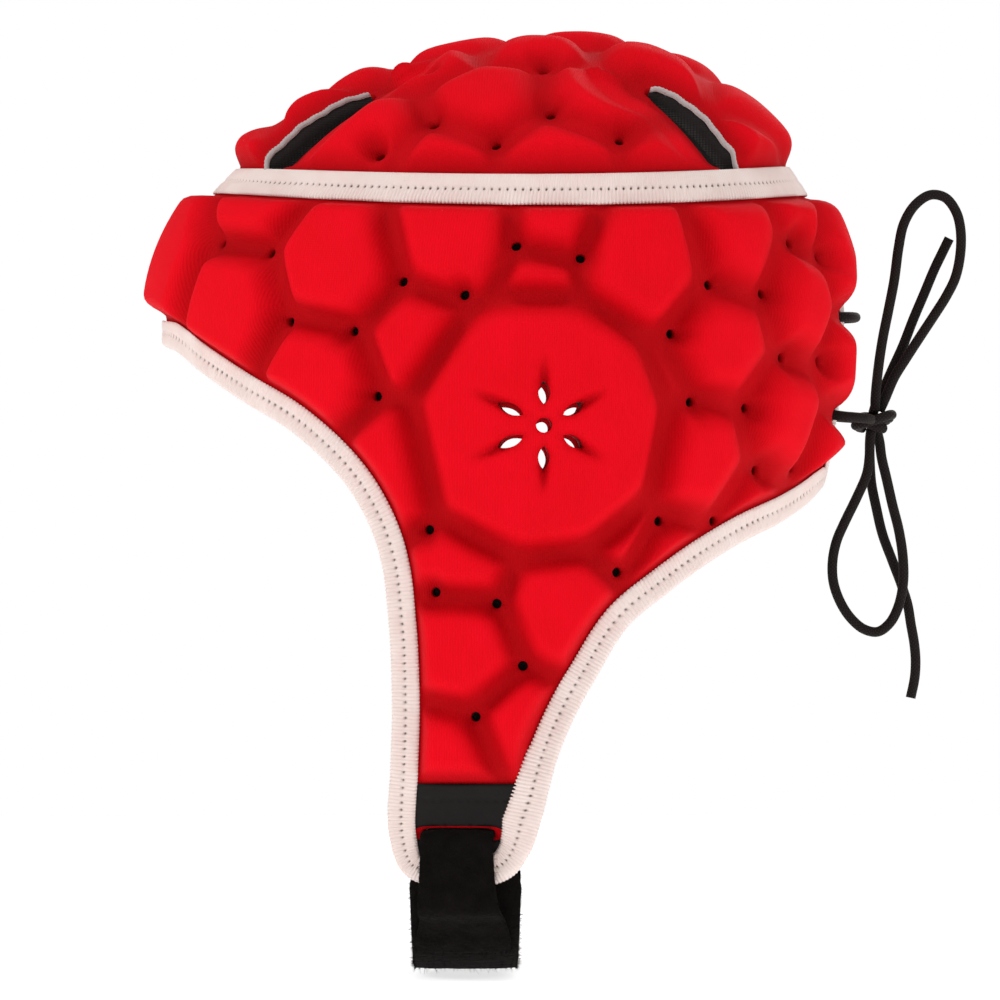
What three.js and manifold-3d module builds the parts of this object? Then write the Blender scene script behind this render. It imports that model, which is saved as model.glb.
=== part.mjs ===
// Rugby scrum cap: a hollow padded cap with ear flaps, a laced slit at the back and a chin strap.
// Millimetres, +Z up. The wearer faces -Y and the left ear is on the +X side.
// The origin is the inner face of the lining at the crown, where the cap sits on the head.
// A place on the cap is a turn, a level and an offset: the turn goes round the head from the brow
// (0 degrees) over the left ear (90) to the nape (180), the level goes from the crown (0) down to
// the widest girth (1) and on to the tips of the ear flaps (2), and the offset goes outwards.

import * as THREE from 'three';
import { mergeVertices } from 'three/addons/utils/BufferGeometryUtils.js';
import Module from 'manifold-3d';

const wasm = await Module();
wasm.setup();

// Inner form of the cap
const browReach = 105;
const napeReach = 88;
const halfWidth = 77;
const crownHeight = 75;
const cheekDepth = 166;
const axisSetback = 12;
const browRoundness = 2.1;
const napeRoundness = 1.85;
const sideRoundness = 2.25;

// Walls, pads and gaps
const clearance = 0.3;
const seamGap = 0.5;
const tapeGap = 0.55;
const liningSag = 0.9;
const liningWall = 1.0;
const foamWall = 3.2;
const padRise = 7.8;
const padDome = 0.6;
const padShoulder = 6.5;
const leastPad = 0.8;
const channelWidth = 5;
const padReach = 20;
const ventRadius = 1.5;
const ventMargin = 1.2;

// Tapes
const tapeWall = 0.7;
const bandWidth = 10;
const bindingWidth = 8.2;
const tapeMargin = 1.4;
const slotTapeWall = 1.0;
const slotTapeLip = 0.8;
const leastTape = 0.1;

// Slit at the nape and its lace
const slitWidth = 10;
const slitCorner = 9;
const laceDiameter = 3;
const laceHoleRadius = 2.3;
const knotWidth = 11;
const knotShares = { depth: 0.9, height: 0.92 };

// Slots over the crown
const slotWidth = 5.6;
const slotMargin = 3.2;

// Hearing vent over each ear
const earVentRadius = 2.2;
const earSlotNear = 6;
const earSlotFar = 13;
const earSlotWidth = 3.2;
const earCreaseReach = 23;
const earCreaseDepth = 3.2;

// Flap patches and chin strap
const patchWall = 1.0;
const patchHeight = 30;
const strapWall = 2.0;
const strapWidth = 35;
const foldWidth = 20.5;
const foldEndWidth = 29;
const strapSlotHeight = 3.6;
const strapSlotDrop = 13.5;
const strapTurn = 78;
const chinDrop = 29.5;
const chinPower = 0.9;
const strapTaper = 0.08;

// Mesh steps, and how far a cutting tool stands out past the walls
const cutReach = 8;
const turnSteps = 36;
const edgeSpacing = 14;
const bandSteps = 60;
const cornerTolerance = 2.6;
const notchWeight = 5;
const ventSides = 5;

// Offsets from the inner form, each one seated on the last
const foamInner = liningWall + clearance;
const foamOuter = foamInner + foamWall;
const padTop = foamOuter + padRise;
const padMiddle = (foamOuter + padTop) / 2;
const tapeInner = foamOuter + tapeGap;
const tapeOuter = tapeInner + tapeWall;
const innerTapeTop = -liningSag - tapeGap;
const patchOuter = tapeInner + patchWall;

// Reach of the form below the widest girth, as shares of its reaches there
const cheekShares = [
  { level: 1.00, brow: 1.00, nape: 1.000, side: 1.000 },
  { level: 1.14, brow: 1.00, nape: 0.985, side: 1.000 },
  { level: 1.25, brow: 1.00, nape: 0.950, side: 0.990 },
  { level: 1.35, brow: 1.00, nape: 0.910, side: 0.975 },
  { level: 1.50, brow: 1.00, nape: 0.870, side: 0.940 },
  { level: 1.70, brow: 0.97, nape: 0.850, side: 0.865 },
  { level: 1.85, brow: 0.96, nape: 0.840, side: 0.800 },
  { level: 2.00, brow: 0.95, nape: 0.830, side: 0.740 },
];

// Lower edge of the cap, from the brow down round the ear flap and back to the nape
const edgeRows = [
  { turn: 0, level: 1.036 }, { turn: 16, level: 1.050 }, { turn: 26, level: 1.084 },
  { turn: 39, level: 1.140 }, { turn: 50, level: 1.195 }, { turn: 59, level: 1.274 },
  { turn: 64, level: 1.354 }, { turn: 66.5, level: 1.434 }, { turn: 67.5, level: 1.542 },
  { turn: 67.5, level: 1.680 }, { turn: 67, level: 1.789 }, { turn: 66.5, level: 1.910 },
  { turn: 69, level: 1.979 }, { turn: 75, level: 2.000 }, { turn: 81, level: 2.000 },
  { turn: 86.5, level: 1.980 }, { turn: 89.5, level: 1.934 }, { turn: 91.5, level: 1.880 },
  { turn: 95, level: 1.771 }, { turn: 99, level: 1.693 }, { turn: 103, level: 1.633 },
  { turn: 110, level: 1.540 }, { turn: 118.6, level: 1.482 }, { turn: 127, level: 1.434 },
  { turn: 137.5, level: 1.390 }, { turn: 150, level: 1.356 }, { turn: 158, level: 1.334 },
];
const napeLevel = 1.300;
const slitTopLevel = 0.935;

// Foam pads below the band: the middle of each, and its reach as a share of padReach
const sidePads = [
  { name: 'brow', turn: 13, level: 0.78, reach: 0.95 },
  { name: 'temple_top', turn: 38.5, level: 0.58, reach: 0.75 },
  { name: 'temple', turn: 59, level: 0.79, reach: 1.05 },
  { name: 'side_front', turn: 76, level: 0.67, reach: 1.00 },
  { name: 'side_strip_top', turn: 93, level: 0.65, reach: 0.70 },
  { name: 'side_strip', turn: 92, level: 0.81, reach: 0.50 },
  { name: 'side_back', turn: 110, level: 0.79, reach: 1.00 },
  { name: 'back_side', turn: 130, level: 0.73, reach: 0.85 },
  { name: 'back_top', turn: 152.5, level: 0.65, reach: 0.60 },
  { name: 'back_middle', turn: 167, level: 0.80, reach: 0.85 },
  { name: 'brow_side', turn: 39, level: 0.94, reach: 0.90 },
  { name: 'cheekbone', turn: 56, level: 1.09, reach: 0.90 },
  { name: 'ear_front', turn: 71, level: 1.025, reach: 0.70 },
  { name: 'ear', turn: 92, level: 1.186, reach: 1.90 },
  { name: 'ear_back_strip', turn: 114, level: 1.097, reach: 0.30 },
  { name: 'back_upper', turn: 126, level: 1.037, reach: 0.90 },
  { name: 'back_round', turn: 147, level: 0.925, reach: 0.90 },
  { name: 'slit_upper', turn: 165, level: 1.068, reach: 0.85 },
  { name: 'back_ear', turn: 123, level: 1.245, reach: 0.90 },
  { name: 'back_low', turn: 143, level: 1.175, reach: 0.90 },
  { name: 'slit_lower', turn: 161, level: 1.236, reach: 0.75 },
  { name: 'nape', turn: 138, level: 1.336, reach: 0.75 },
  { name: 'lobe_strip', turn: 109, level: 1.383, reach: 0.50 },
  { name: 'lobe_back', turn: 119, level: 1.433, reach: 0.75 },
  { name: 'jaw_back', turn: 96.5, level: 1.52, reach: 0.90 },
  { name: 'jaw_front', turn: 79.5, level: 1.589, reach: 0.90 },
  { name: 'jaw_strip', turn: 80, level: 1.448, reach: 0.50 },
  { name: 'cheek', turn: 68, level: 1.252, reach: 0.70 },
  { name: 'chin_back', turn: 88.5, level: 1.708, reach: 0.80 },
  { name: 'chin_front', turn: 76.5, level: 1.764, reach: 0.80 },
];

// Foam pads over the crown, in the same columns
const crownPads = [
  { name: 'crown_front', turn: 37.5, level: 0.095, reach: 0.80 },
  { name: 'crown_side_front', turn: 75, level: 0.215, reach: 0.90 },
  { name: 'crown_top_side', turn: 74, level: 0.032, reach: 0.75 },
  { name: 'crown_side_back', turn: 100, level: 0.215, reach: 0.90 },
  { name: 'crown_top_back', turn: 134, level: 0.067, reach: 0.80 },
  { name: 'crown_low_front', turn: 71.5, level: 0.448, reach: 0.80 },
  { name: 'crown_low_side', turn: 93.5, level: 0.427, reach: 0.90 },
  { name: 'crown_low_back', turn: 115, level: 0.434, reach: 0.70 },
  { name: 'crown_back', turn: 164.5, level: 0.244, reach: 0.85 },
  { name: 'crown_back_low', turn: 153, level: 0.430, reach: 0.65 },
  { name: 'crown_brow', turn: 12.5, level: 0.367, reach: 0.70 },
  { name: 'crown_brow_top', turn: 18.5, level: 0.226, reach: 0.85 },
  { name: 'crown_temple', turn: 54, level: 0.342, reach: 0.80 },
  { name: 'crown_middle_front', turn: 0, level: 0.150, reach: 0.70 },
  { name: 'crown_middle_top', turn: 0, level: 0.036, reach: 0.80 },
  { name: 'crown_middle', turn: 180, level: 0.002, reach: 0.80 },
  { name: 'crown_middle_back', turn: 180, level: 0.110, reach: 0.80 },
];

// Round vents, where the channels meet
const sideVents = [
  { turn: 29, level: 0.71 }, { turn: 43.5, level: 0.75 }, { turn: 49.5, level: 1.00 },
  { turn: 61.5, level: 1.02 }, { turn: 65.5, level: 1.135 }, { turn: 69.5, level: 0.86 },
  { turn: 79.5, level: 0.91 }, { turn: 74, level: 1.37 }, { turn: 75, level: 1.48 },
  { turn: 84.5, level: 1.50 }, { turn: 88.5, level: 1.61 }, { turn: 81, level: 1.70 },
  { turn: 87, level: 0.73 }, { turn: 98.5, level: 0.775 }, { turn: 116, level: 1.025 },
  { turn: 124, level: 0.87 }, { turn: 137, level: 0.90 }, { turn: 120.5, level: 1.145 },
  { turn: 133.5, level: 1.155 }, { turn: 143, level: 1.065 }, { turn: 157, level: 1.07 },
  { turn: 148, level: 0.71 }, { turn: 160, level: 0.76 }, { turn: 138.5, level: 1.265 },
  { turn: 151, level: 1.26 }, { turn: 116, level: 1.355 }, { turn: 129, level: 1.355 },
  { turn: 107.5, level: 1.445 },
];
const crownVents = [
  { turn: 45, level: 0.116 }, { turn: 82, level: 0.074 }, { turn: 89, level: 0.244 },
  { turn: 64.5, level: 0.278 }, { turn: 80, level: 0.357 }, { turn: 106, level: 0.338 },
  { turn: 57.5, level: 0.395 },
];

// Middle lines of the two slots on the left of the crown, with their width as a share of slotWidth
const crownSlots = {
  front: [
    { turn: 29.8, level: 0.450, share: 1.0 }, { turn: 28.6, level: 0.370, share: 1.0 },
    { turn: 27.2, level: 0.290, share: 1.0 }, { turn: 25.8, level: 0.220, share: 0.9 },
    { turn: 24.4, level: 0.170, share: 0.6 }, { turn: 23.4, level: 0.145, share: 0.2 },
  ],
  back: [
    { turn: 136.2, level: 0.460, share: 1.0 }, { turn: 133.4, level: 0.380, share: 1.0 },
    { turn: 130.6, level: 0.290, share: 1.0 }, { turn: 127.0, level: 0.210, share: 0.9 },
    { turn: 122.4, level: 0.160, share: 0.6 }, { turn: 118.6, level: 0.142, share: 0.2 },
  ],
};

// Lace holes beside the slit
const laceTurn = 168;
const laceHoles = [{ level: 0.976 }, { level: 1.159 }];

// Lace across the slit, from the middle of the upper crossing into the left side of the knot
const laceRunRoute = [
  { turn: 180, level: 0.976, out: 9.2 }, { turn: 175, level: 0.976, out: 9.0 },
  { turn: 171.5, level: 0.976, out: 8.4 }, { turn: 169.2, level: 0.976, out: 6.9 },
  { turn: 168, level: 0.976, out: 4.6 }, { turn: 168, level: 0.976, out: 1.5 },
  { turn: 168, level: 0.977, out: -1.4 }, { turn: 168, level: 0.992, out: -3.2 },
  { turn: 168, level: 1.020, out: -3.8 }, { turn: 168, level: 1.060, out: -3.8 },
  { turn: 168, level: 1.100, out: -3.8 }, { turn: 168, level: 1.138, out: -3.7 },
  { turn: 168, level: 1.156, out: -2.7 }, { turn: 168, level: 1.159, out: -0.6 },
  { turn: 168, level: 1.161, out: 2.2 }, { turn: 168, level: 1.164, out: 5.6 },
  { turn: 168.8, level: 1.167, out: 9.0 }, { turn: 170.8, level: 1.169, out: 12.6 },
  { turn: 173.4, level: 1.171, out: 15.2 }, { turn: 175.6, level: 1.172, out: 16.0 },
  { turn: 178.2, level: 1.173, out: 16.0 },
];

// Free ends and loops of the bow, each from inside the knot and back, as points x, y, z
const knotPlace = [0, 90.4, -103.9];
const loopUpRoute = [
  [2.3, 91.0, -101.2], [2.4, 91.0, -97.6], [2.6, 91.8, -89.0], [2.6, 93.1, -80.0],
  [2.4, 95.0, -70.5], [2.2, 96.7, -61.7], [2.0, 98.0, -52.0], [1.8, 99.6, -44.8],
  [1.5, 103.0, -39.2], [1.1, 107.6, -36.2], [0.7, 112.0, -37.0], [0.3, 115.2, -41.0],
  [-0.1, 116.6, -46.0], [-0.5, 116.7, -53.0], [-0.9, 115.2, -60.8], [-1.2, 112.4, -66.6],
  [-1.5, 109.4, -71.4], [-1.8, 104.8, -78.4], [-2.0, 100.4, -85.2], [-1.6, 96.8, -91.0],
  [-1.1, 94.2, -97.0], [-0.8, 92.4, -101.0],
];
const endUpRoute = [
  [-2.6, 90.6, -101.4], [-4.4, 91.6, -98.4], [-5.2, 93.6, -94.6], [-5.6, 96.4, -88.4],
  [-5.6, 99.6, -81.4], [-5.4, 102.7, -73.4], [-5.2, 106.0, -65.6], [-5.0, 109.0, -58.4],
  [-4.8, 111.4, -53.4], [-4.6, 113.5, -49.1],
];
const loopDownRoute = [
  [2.0, 89.8, -106.8], [2.4, 89.4, -110.2], [2.8, 89.2, -115.0], [3.0, 88.4, -120.0],
  [2.9, 85.4, -127.0], [2.8, 81.8, -134.4], [2.6, 79.4, -140.0], [2.4, 78.2, -146.0],
  [2.2, 78.4, -152.0], [2.0, 80.2, -157.6], [1.8, 83.4, -162.8], [1.5, 87.6, -166.4],
  [1.2, 91.8, -167.2], [0.9, 95.4, -164.6], [0.6, 98.0, -159.6], [0.4, 99.4, -153.0],
  [0.2, 99.4, -145.4], [0.0, 98.2, -137.0], [-0.1, 96.2, -129.0], [-0.2, 94.4, -121.0],
  [-0.4, 93.0, -115.0], [-0.6, 92.4, -110.4], [-0.4, 91.6, -106.8],
];
const endDownRoute = [
  [-2.2, 89.9, -106.6], [-3.4, 89.6, -109.6], [-4.4, 89.6, -115.0], [-4.9, 90.1, -122.6],
  [-4.8, 91.6, -130.2], [-4.6, 93.4, -137.9], [-4.3, 96.4, -146.0], [-4.0, 99.1, -153.2],
  [-3.7, 101.0, -159.4], [-3.4, 101.9, -165.0], [-3.1, 102.9, -170.8], [-2.9, 103.3, -176.0],
  [-2.8, 103.0, -181.2], [-2.8, 101.8, -187.1],
];

// Places on the form

function radians(degrees) {
  return THREE.MathUtils.degToRad(degrees);
}

function sharesAt(level) {
  const rows = cheekShares;
  if (level <= rows[0].level) return rows[0];
  let i = 1;
  while (i < rows.length - 1 && level > rows[i].level) i += 1;
  const [low, high] = [rows[i - 1], rows[i]];
  const t = Math.min(1, (level - low.level) / (high.level - low.level));
  const mix = key => THREE.MathUtils.lerp(low[key], high[key], t);
  return { brow: mix('brow'), nape: mix('nape'), side: mix('side') };
}

// The power of the crown's superellipse at a turn, and its ring's radius there as a share
function powerAt(turn) {
  const cos = Math.cos(radians(turn));
  const ends = cos > 0 ? browRoundness : napeRoundness;
  return sideRoundness * (1 - cos * cos) + ends * cos * cos;
}

function ringAt(turn, level) {
  const top = THREE.MathUtils.clamp(1 - level, 0, 1);
  return Math.pow(Math.max(0, 1 - Math.pow(top, powerAt(turn))), 1 / powerAt(turn));
}

// A point of the cap: superelliptic rings over the crown, shrinking ellipses below the girth
function place(turn, level, out) {
  const sin = Math.sin(radians(turn));
  const cos = Math.cos(radians(turn));
  const top = THREE.MathUtils.clamp(1 - level, 0, 1);
  const ring = ringAt(turn, level);
  const shares = sharesAt(level);
  const reach = (cos > 0 ? browReach * shares.brow : napeReach * shares.nape) + out;
  const below = level < 1 ? level * crownHeight : crownHeight + (level - 1) * cheekDepth;
  return new THREE.Vector3(
    (halfWidth * shares.side + out) * ring * sin,
    -axisSetback * (1 - top * top) - reach * ring * cos,
    -below + out * top);
}

// Directions of the surface at a place: along turn and level (per unit), and the outward normal
function tangents(turn, level, out) {
  const step = 0.01;
  const alongTurn = place(turn + step, level, out).sub(place(turn - step, level, out));
  const low = Math.max(level - step, 0);
  const alongLevel = place(turn, level + step, out).sub(place(turn, low, out));
  alongTurn.divideScalar(2 * step);
  alongLevel.divideScalar(level + step - low);
  const normal = new THREE.Vector3().crossVectors(alongLevel, alongTurn).normalize();
  return { alongTurn, alongLevel, normal };
}

// Over the crown a place is also a point of a unit disc, which stays smooth at the pole
function discOf(turn, level) {
  const ring = ringAt(turn, level);
  return new THREE.Vector2(ring * Math.sin(radians(turn)), ring * Math.cos(radians(turn)));
}

function fromDisc(disc) {
  const turn = THREE.MathUtils.radToDeg(Math.atan2(disc.x, disc.y));
  const power = powerAt(turn);
  return { turn, level: 1 - Math.pow(Math.max(0, 1 - Math.pow(disc.length(), power)), 1 / power) };
}

// The turn and level reached by a small move along the surface
function moved(turn, level, move, out) {
  const overCrown = level < 0.6;
  const start = overCrown ? discOf(turn, level) : new THREE.Vector2(turn, level);
  const placed = flat => (overCrown ? fromDisc(flat) : { turn: flat.x, level: flat.y });
  const step = 0.01;
  const slope = (dx, dy) => {
    const ends = [step, -step].map(s => placed(new THREE.Vector2(start.x + dx * s, start.y + dy * s)));
    const [ahead, behind] = ends.map(end => place(end.turn, end.level, out));
    return ahead.sub(behind).divideScalar(2 * step);
  };
  const [a, b] = [slope(1, 0), slope(0, 1)];
  const [aa, ab, bb, am, bm] = [a.dot(a), a.dot(b), b.dot(b), a.dot(move), b.dot(move)];
  const det = aa * bb - ab * ab;
  return placed(new THREE.Vector2(
    start.x + (am * bb - bm * ab) / det, start.y + (bm * aa - am * ab) / det));
}

// Height of the band's middle line, a little lower over the ears
function bandLevel(turn) {
  return 0.496 - 0.028 * Math.cos(2 * radians(turn));
}

// Solids and meshes

function signedVolume(positions, index) {
  const [a, b, c] = [new THREE.Vector3(), new THREE.Vector3(), new THREE.Vector3()];
  let sum = 0;
  for (let i = 0; i < index.length; i += 3) {
    a.fromArray(positions, 3 * index[i]);
    b.fromArray(positions, 3 * index[i + 1]);
    c.fromArray(positions, 3 * index[i + 2]);
    sum += a.dot(b.cross(c));
  }
  return sum / 6;
}

// A closed geometry as a solid, with shared corners merged and its faces turned outwards
function solidOf(geometry) {
  const bare = geometry.clone();
  bare.deleteAttribute('normal');
  bare.deleteAttribute('uv');
  const merged = mergeVertices(bare, 1e-4);
  const vertProperties = merged.attributes.position.array;
  const index = merged.index.array;
  const kept = [];
  for (let i = 0; i < index.length; i += 3) {
    const [a, b, c] = [index[i], index[i + 1], index[i + 2]];
    if (a !== b && b !== c && c !== a) kept.push(a, b, c);
  }
  if (signedVolume(vertProperties, kept) < 0) kept.reverse();
  const triVerts = new Uint32Array(kept);
  return new wasm.Manifold(new wasm.Mesh({ numProp: 3, vertProperties, triVerts }));
}

function geometryOf(solid) {
  const mesh = solid.getMesh();
  const geometry = new THREE.BufferGeometry();
  geometry.setAttribute('position', new THREE.BufferAttribute(mesh.vertProperties, 3));
  geometry.setIndex(new THREE.BufferAttribute(mesh.triVerts, 1));
  return geometry;
}

// A skin through rings of equal count: closed in a loop, or capped on a middle point at each end
function skin(rings, looped = false) {
  const count = rings[0].length;
  const points = rings.flat();
  const index = [];
  const quad = (a, b, c, d) => index.push(a, b, c, a, c, d);
  const spans = looped ? rings.length : rings.length - 1;
  for (let r = 0; r < spans; r += 1) {
    const next = (r + 1) % rings.length;
    for (let i = 0; i < count; i += 1) {
      const j = (i + 1) % count;
      quad(r * count + i, r * count + j, next * count + j, next * count + i);
    }
  }
  if (!looped) {
    [[rings[0], 0, 1], [rings.at(-1), (rings.length - 1) * count, 0]].forEach(([ring, start, flip]) => {
      const middle = points.length;
      points.push(ring.middle ?? ring.reduce((a, p) => a.add(p), new THREE.Vector3()).divideScalar(count));
      for (let i = 0; i < count; i += 1) {
        const pair = [start + i, start + (i + 1) % count];
        if (flip) pair.reverse();
        index.push(middle, ...pair);
      }
    });
  }
  const geometry = new THREE.BufferGeometry().setFromPoints(points);
  geometry.setIndex(index);
  return geometry;
}

// A wall between two offsets, all round the head, over the given levels of each turn
function wallAround(levelsAt, inner, outer) {
  const rings = [];
  for (let i = 0; i < turnSteps; i += 1) {
    const turn = i * 360 / turnSteps;
    const levels = levelsAt(turn);
    rings.push([
      ...levels.map(level => place(turn, level, inner)),
      ...levels.slice().reverse().map(level => place(turn, level, outer)),
    ]);
  }
  return solidOf(skin(rings, true));
}

// A bar swept through stations, each a ring of four corners
function bar(stations, looped = false) {
  return solidOf(skin(stations, looped));
}

// A prism along the surface normal at a place
function drill(turn, level, radius, inner, outer, sides) {
  const { normal } = tangents(turn, level, 0);
  const geometry = new THREE.CylinderGeometry(radius, radius, outer - inner, sides);
  const lift = new THREE.Quaternion().setFromUnitVectors(new THREE.Vector3(0, 1, 0), normal);
  geometry.applyQuaternion(lift);
  const middle = place(turn, level, 0).addScaledVector(normal, (inner + outer) / 2);
  geometry.translate(middle.x, middle.y, middle.z);
  return solidOf(geometry);
}

// The largest body of a solid that a join or a cut has left with loose crumbs
function largest(solid) {
  return solid.decompose().reduce((a, b) => (a.volume() > b.volume() ? a : b));
}

function bothSides(row) {
  return row.turn % 180 === 0 ? [row] : [row, { ...row, turn: -row.turn }];
}

// Lower edge of the cap

// The nape's corner into the slit, and the round top of the slit
function slitRows() {
  const perTurn = radians(1) * (halfWidth + foamOuter);
  const napeZ = -crownHeight - (napeLevel - 1) * cheekDepth;
  const topZ = -crownHeight * slitTopLevel;
  const rows = [];
  const add = (across, z) => {
    const level = z > -crownHeight ? -z / crownHeight : 1 + (-z - crownHeight) / cheekDepth;
    rows.push({ turn: 180 - across / perTurn, level });
  };
  const half = slitWidth / 2;
  for (const t of [0, 30, 60, 90]) {
    const sin = Math.sin(radians(t));
    const cos = Math.cos(radians(t));
    add(half + slitCorner * (1 - sin), napeZ + slitCorner * (1 - cos));
  }
  add(half, (napeZ + slitCorner + topZ - half) / 2);
  for (const t of [0, 30, 60, 90]) {
    add(half * Math.cos(radians(t)), topZ - half + half * Math.sin(radians(t)));
  }
  return rows;
}

// Stations along the whole edge: left half from brow to slit, then the right half back again
function edgeLoop() {
  const perTurn = radians(1) * (halfWidth + browReach) / 2;
  const flat = [...edgeRows, ...slitRows()].map(row => {
    const z = row.level < 1 ? -row.level * crownHeight : -crownHeight - (row.level - 1) * cheekDepth;
    return new THREE.Vector3(row.turn * perTurn, z, 0);
  });
  const curve = new THREE.CatmullRomCurve3(flat, false, 'centripetal');
  const last = flat.length - 1;
  const line = flat.slice(1).flatMap((p, i) => {
    const steps = Math.max(1, Math.round(p.distanceTo(flat[i]) / edgeSpacing));
    return Array.from({ length: steps }, (_, k) => curve.getPoint((i + k / steps) / last));
  });
  line.push(flat[last]);
  const left = line.map(p => {
    const level = p.y > -crownHeight ? -p.y / crownHeight : 1 + (-p.y - crownHeight) / cheekDepth;
    return { turn: p.x / perTurn, level };
  });
  left[0].turn = 0;
  left.at(-1).turn = 180;
  const right = left.slice(1, -1).reverse().map(row => ({ turn: -row.turn, level: row.level }));
  const stations = [...left, ...right];
  stations.forEach(row => { row.point = place(row.turn, row.level, foamOuter); });
  const count = stations.length;
  stations.forEach((row, i) => {
    const ahead = stations[(i + 1) % count].point;
    const behind = stations[(i + count - 1) % count].point;
    row.along = ahead.clone().sub(behind).normalize();
    row.inward = tangents(row.turn, row.level, foamOuter).normal.cross(row.along).normalize();
    row.step = ahead.distanceTo(behind) / 2;
  });
  // Round corners that point outwards limit how far a tape can reach in
  const bends = stations.map((row, i) => {
    const change = stations[(i + 1) % count].along.clone().sub(stations[(i + count - 1) % count].along);
    const bend = change.dot(row.inward) / (2 * row.step);
    return bend > 0 ? 0.8 / bend : Infinity;
  });
  stations.forEach((row, i) => {
    const near = [-1, 0, 1].map(k => Math.min(bends[(i + k + count) % count], 2 * bindingWidth));
    row.limit = Math.min(...near);
  });
  return stations;
}
const edge = edgeLoop();

// The place reached from an edge station by going in from the edge, at an offset
function fromEdge(station, inset, out) {
  const to = moved(station.turn, station.level, station.inward.clone().multiplyScalar(inset), out);
  return place(to.turn, to.level, out);
}

// The part of a wall above a thin cut that follows the edge
function trimmed(solid, insetAt) {
  const half = clearance / 2;
  const [deep, high] = [-cutReach, padTop + cutReach];
  const cut = bar(edge.map(row => {
    const inset = insetAt(row);
    return [
      fromEdge(row, inset - half, deep), fromEdge(row, inset + half, deep),
      fromEdge(row, inset + half, high), fromEdge(row, inset - half, high),
    ];
  }), true);
  const parts = solid.subtract(cut).decompose();
  return parts.reduce((a, b) => (a.boundingBox().max[2] > b.boundingBox().max[2] ? a : b));
}
const besideBinding = row => Math.min(bindingWidth, row.limit) + 2 * clearance;

// Foam panels and lining

const lowestLevel = 2.08;

// Shortest way from a point to a line of points
function distanceTo(point, line) {
  let best = Infinity;
  const segment = new THREE.Line3();
  const nearest = new THREE.Vector3();
  for (let i = 1; i < line.length; i += 1) {
    segment.set(line[i - 1], line[i]).closestPointToPoint(point, true, nearest);
    best = Math.min(best, nearest.distanceToSquared(point));
  }
  return Math.sqrt(best);
}

function lineAt(rows, out) {
  return rows.map(row => place(row.turn, row.level, out));
}

const edgeLine = [...edge, edge[0]].map(row => place(row.turn, row.level, padMiddle));
const bandTurns = Array.from({ length: turnSteps + 1 }, (_, i) => i * 360 / turnSteps);
const bandLine = lineAt(bandTurns.map(turn => ({ turn, level: bandLevel(turn) })), padMiddle);
const slotRows = Object.values(crownSlots).flatMap(rows => [
  rows, rows.map(row => ({ ...row, turn: -row.turn }))]);
const slotLines = slotRows.map(rows => lineAt(rows, padMiddle));
const ventPlaces = rows => rows.map(row => ({ ...row, at: place(row.turn, row.level, padMiddle) }));
const sideVentPlaces = ventPlaces(sideVents);
const crownVentPlaces = ventPlaces(crownVents.flatMap(bothSides));

function ventRoom(point, rows) {
  const away = rows.map(row => point.distanceTo(row.at));
  return Math.min(...away) - ventRadius - ventMargin;
}

function sideRoom(point) {
  return Math.min(
    distanceTo(point, edgeLine) - bindingWidth - tapeMargin,
    distanceTo(point, bandLine) - bandWidth / 2 - tapeMargin,
    point.z + crownHeight + cheekDepth - patchHeight - tapeMargin,
    ventRoom(point, sideVentPlaces));
}

function crownRoom(point) {
  const slots = slotLines.map(line => distanceTo(point, line) - slotWidth / 2 - slotMargin);
  return Math.min(
    distanceTo(point, bandLine) - bandWidth / 2 - tapeMargin,
    ventRoom(point, crownVentPlaces), ...slots);
}

// Pads fill their cells: each border lies where two pads' distances, less their reach, are equal
function padForms(rows, roomAt, sides) {
  const seeds = rows.flatMap(bothSides).map(row => ({
    ...row, at: place(row.turn, row.level, padMiddle), size: row.reach * padReach }));
  return seeds.filter(sides).map(seed => {
    const near = seeds.filter(other => other !== seed && other.at.distanceTo(seed.at) < 90);
    const room = (turn, level) => {
      const point = place(turn, level, padMiddle);
      const own = point.distanceToSquared(seed.at) - seed.size ** 2;
      const borders = near.map(other => {
        const theirs = point.distanceToSquared(other.at) - other.size ** 2;
        return (theirs - own) / (2 * other.at.distanceTo(seed.at)) - channelWidth / 2;
      });
      return Math.min(roomAt(point), ...borders);
    };
    return padForm(seed, room);
  }).filter(pad => pad.own > leastPad && pad.foot.length > 3);
}

// The place a given way and length from another along the surface
function stepFrom(centre, angle, length) {
  const { alongTurn, normal } = tangents(centre.turn, centre.level, padMiddle);
  const across = alongTurn.clone().normalize();
  const down = new THREE.Vector3().crossVectors(across, normal).normalize();
  const way = across.multiplyScalar(Math.cos(angle)).addScaledVector(down, Math.sin(angle));
  return moved(centre.turn, centre.level, way.multiplyScalar(length), padMiddle);
}

// The place along a ray from a pad's middle where the room falls to a given value
function reachOf(centre, angle, room, wanted) {
  const roomAt = length => {
    const p = stepFrom(centre, angle, length);
    return room(p.turn, p.level);
  };
  let low = 0;
  while (low < 60 && roomAt(low + 1) >= wanted) low += 1;
  let high = low + 1;
  for (let i = 0; i < 8; i += 1) {
    const middle = (low + high) / 2;
    if (roomAt(middle) < wanted) high = middle;
    else low = middle;
  }
  return { angle, length: low, ...stepFrom(centre, angle, low) };
}

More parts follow.
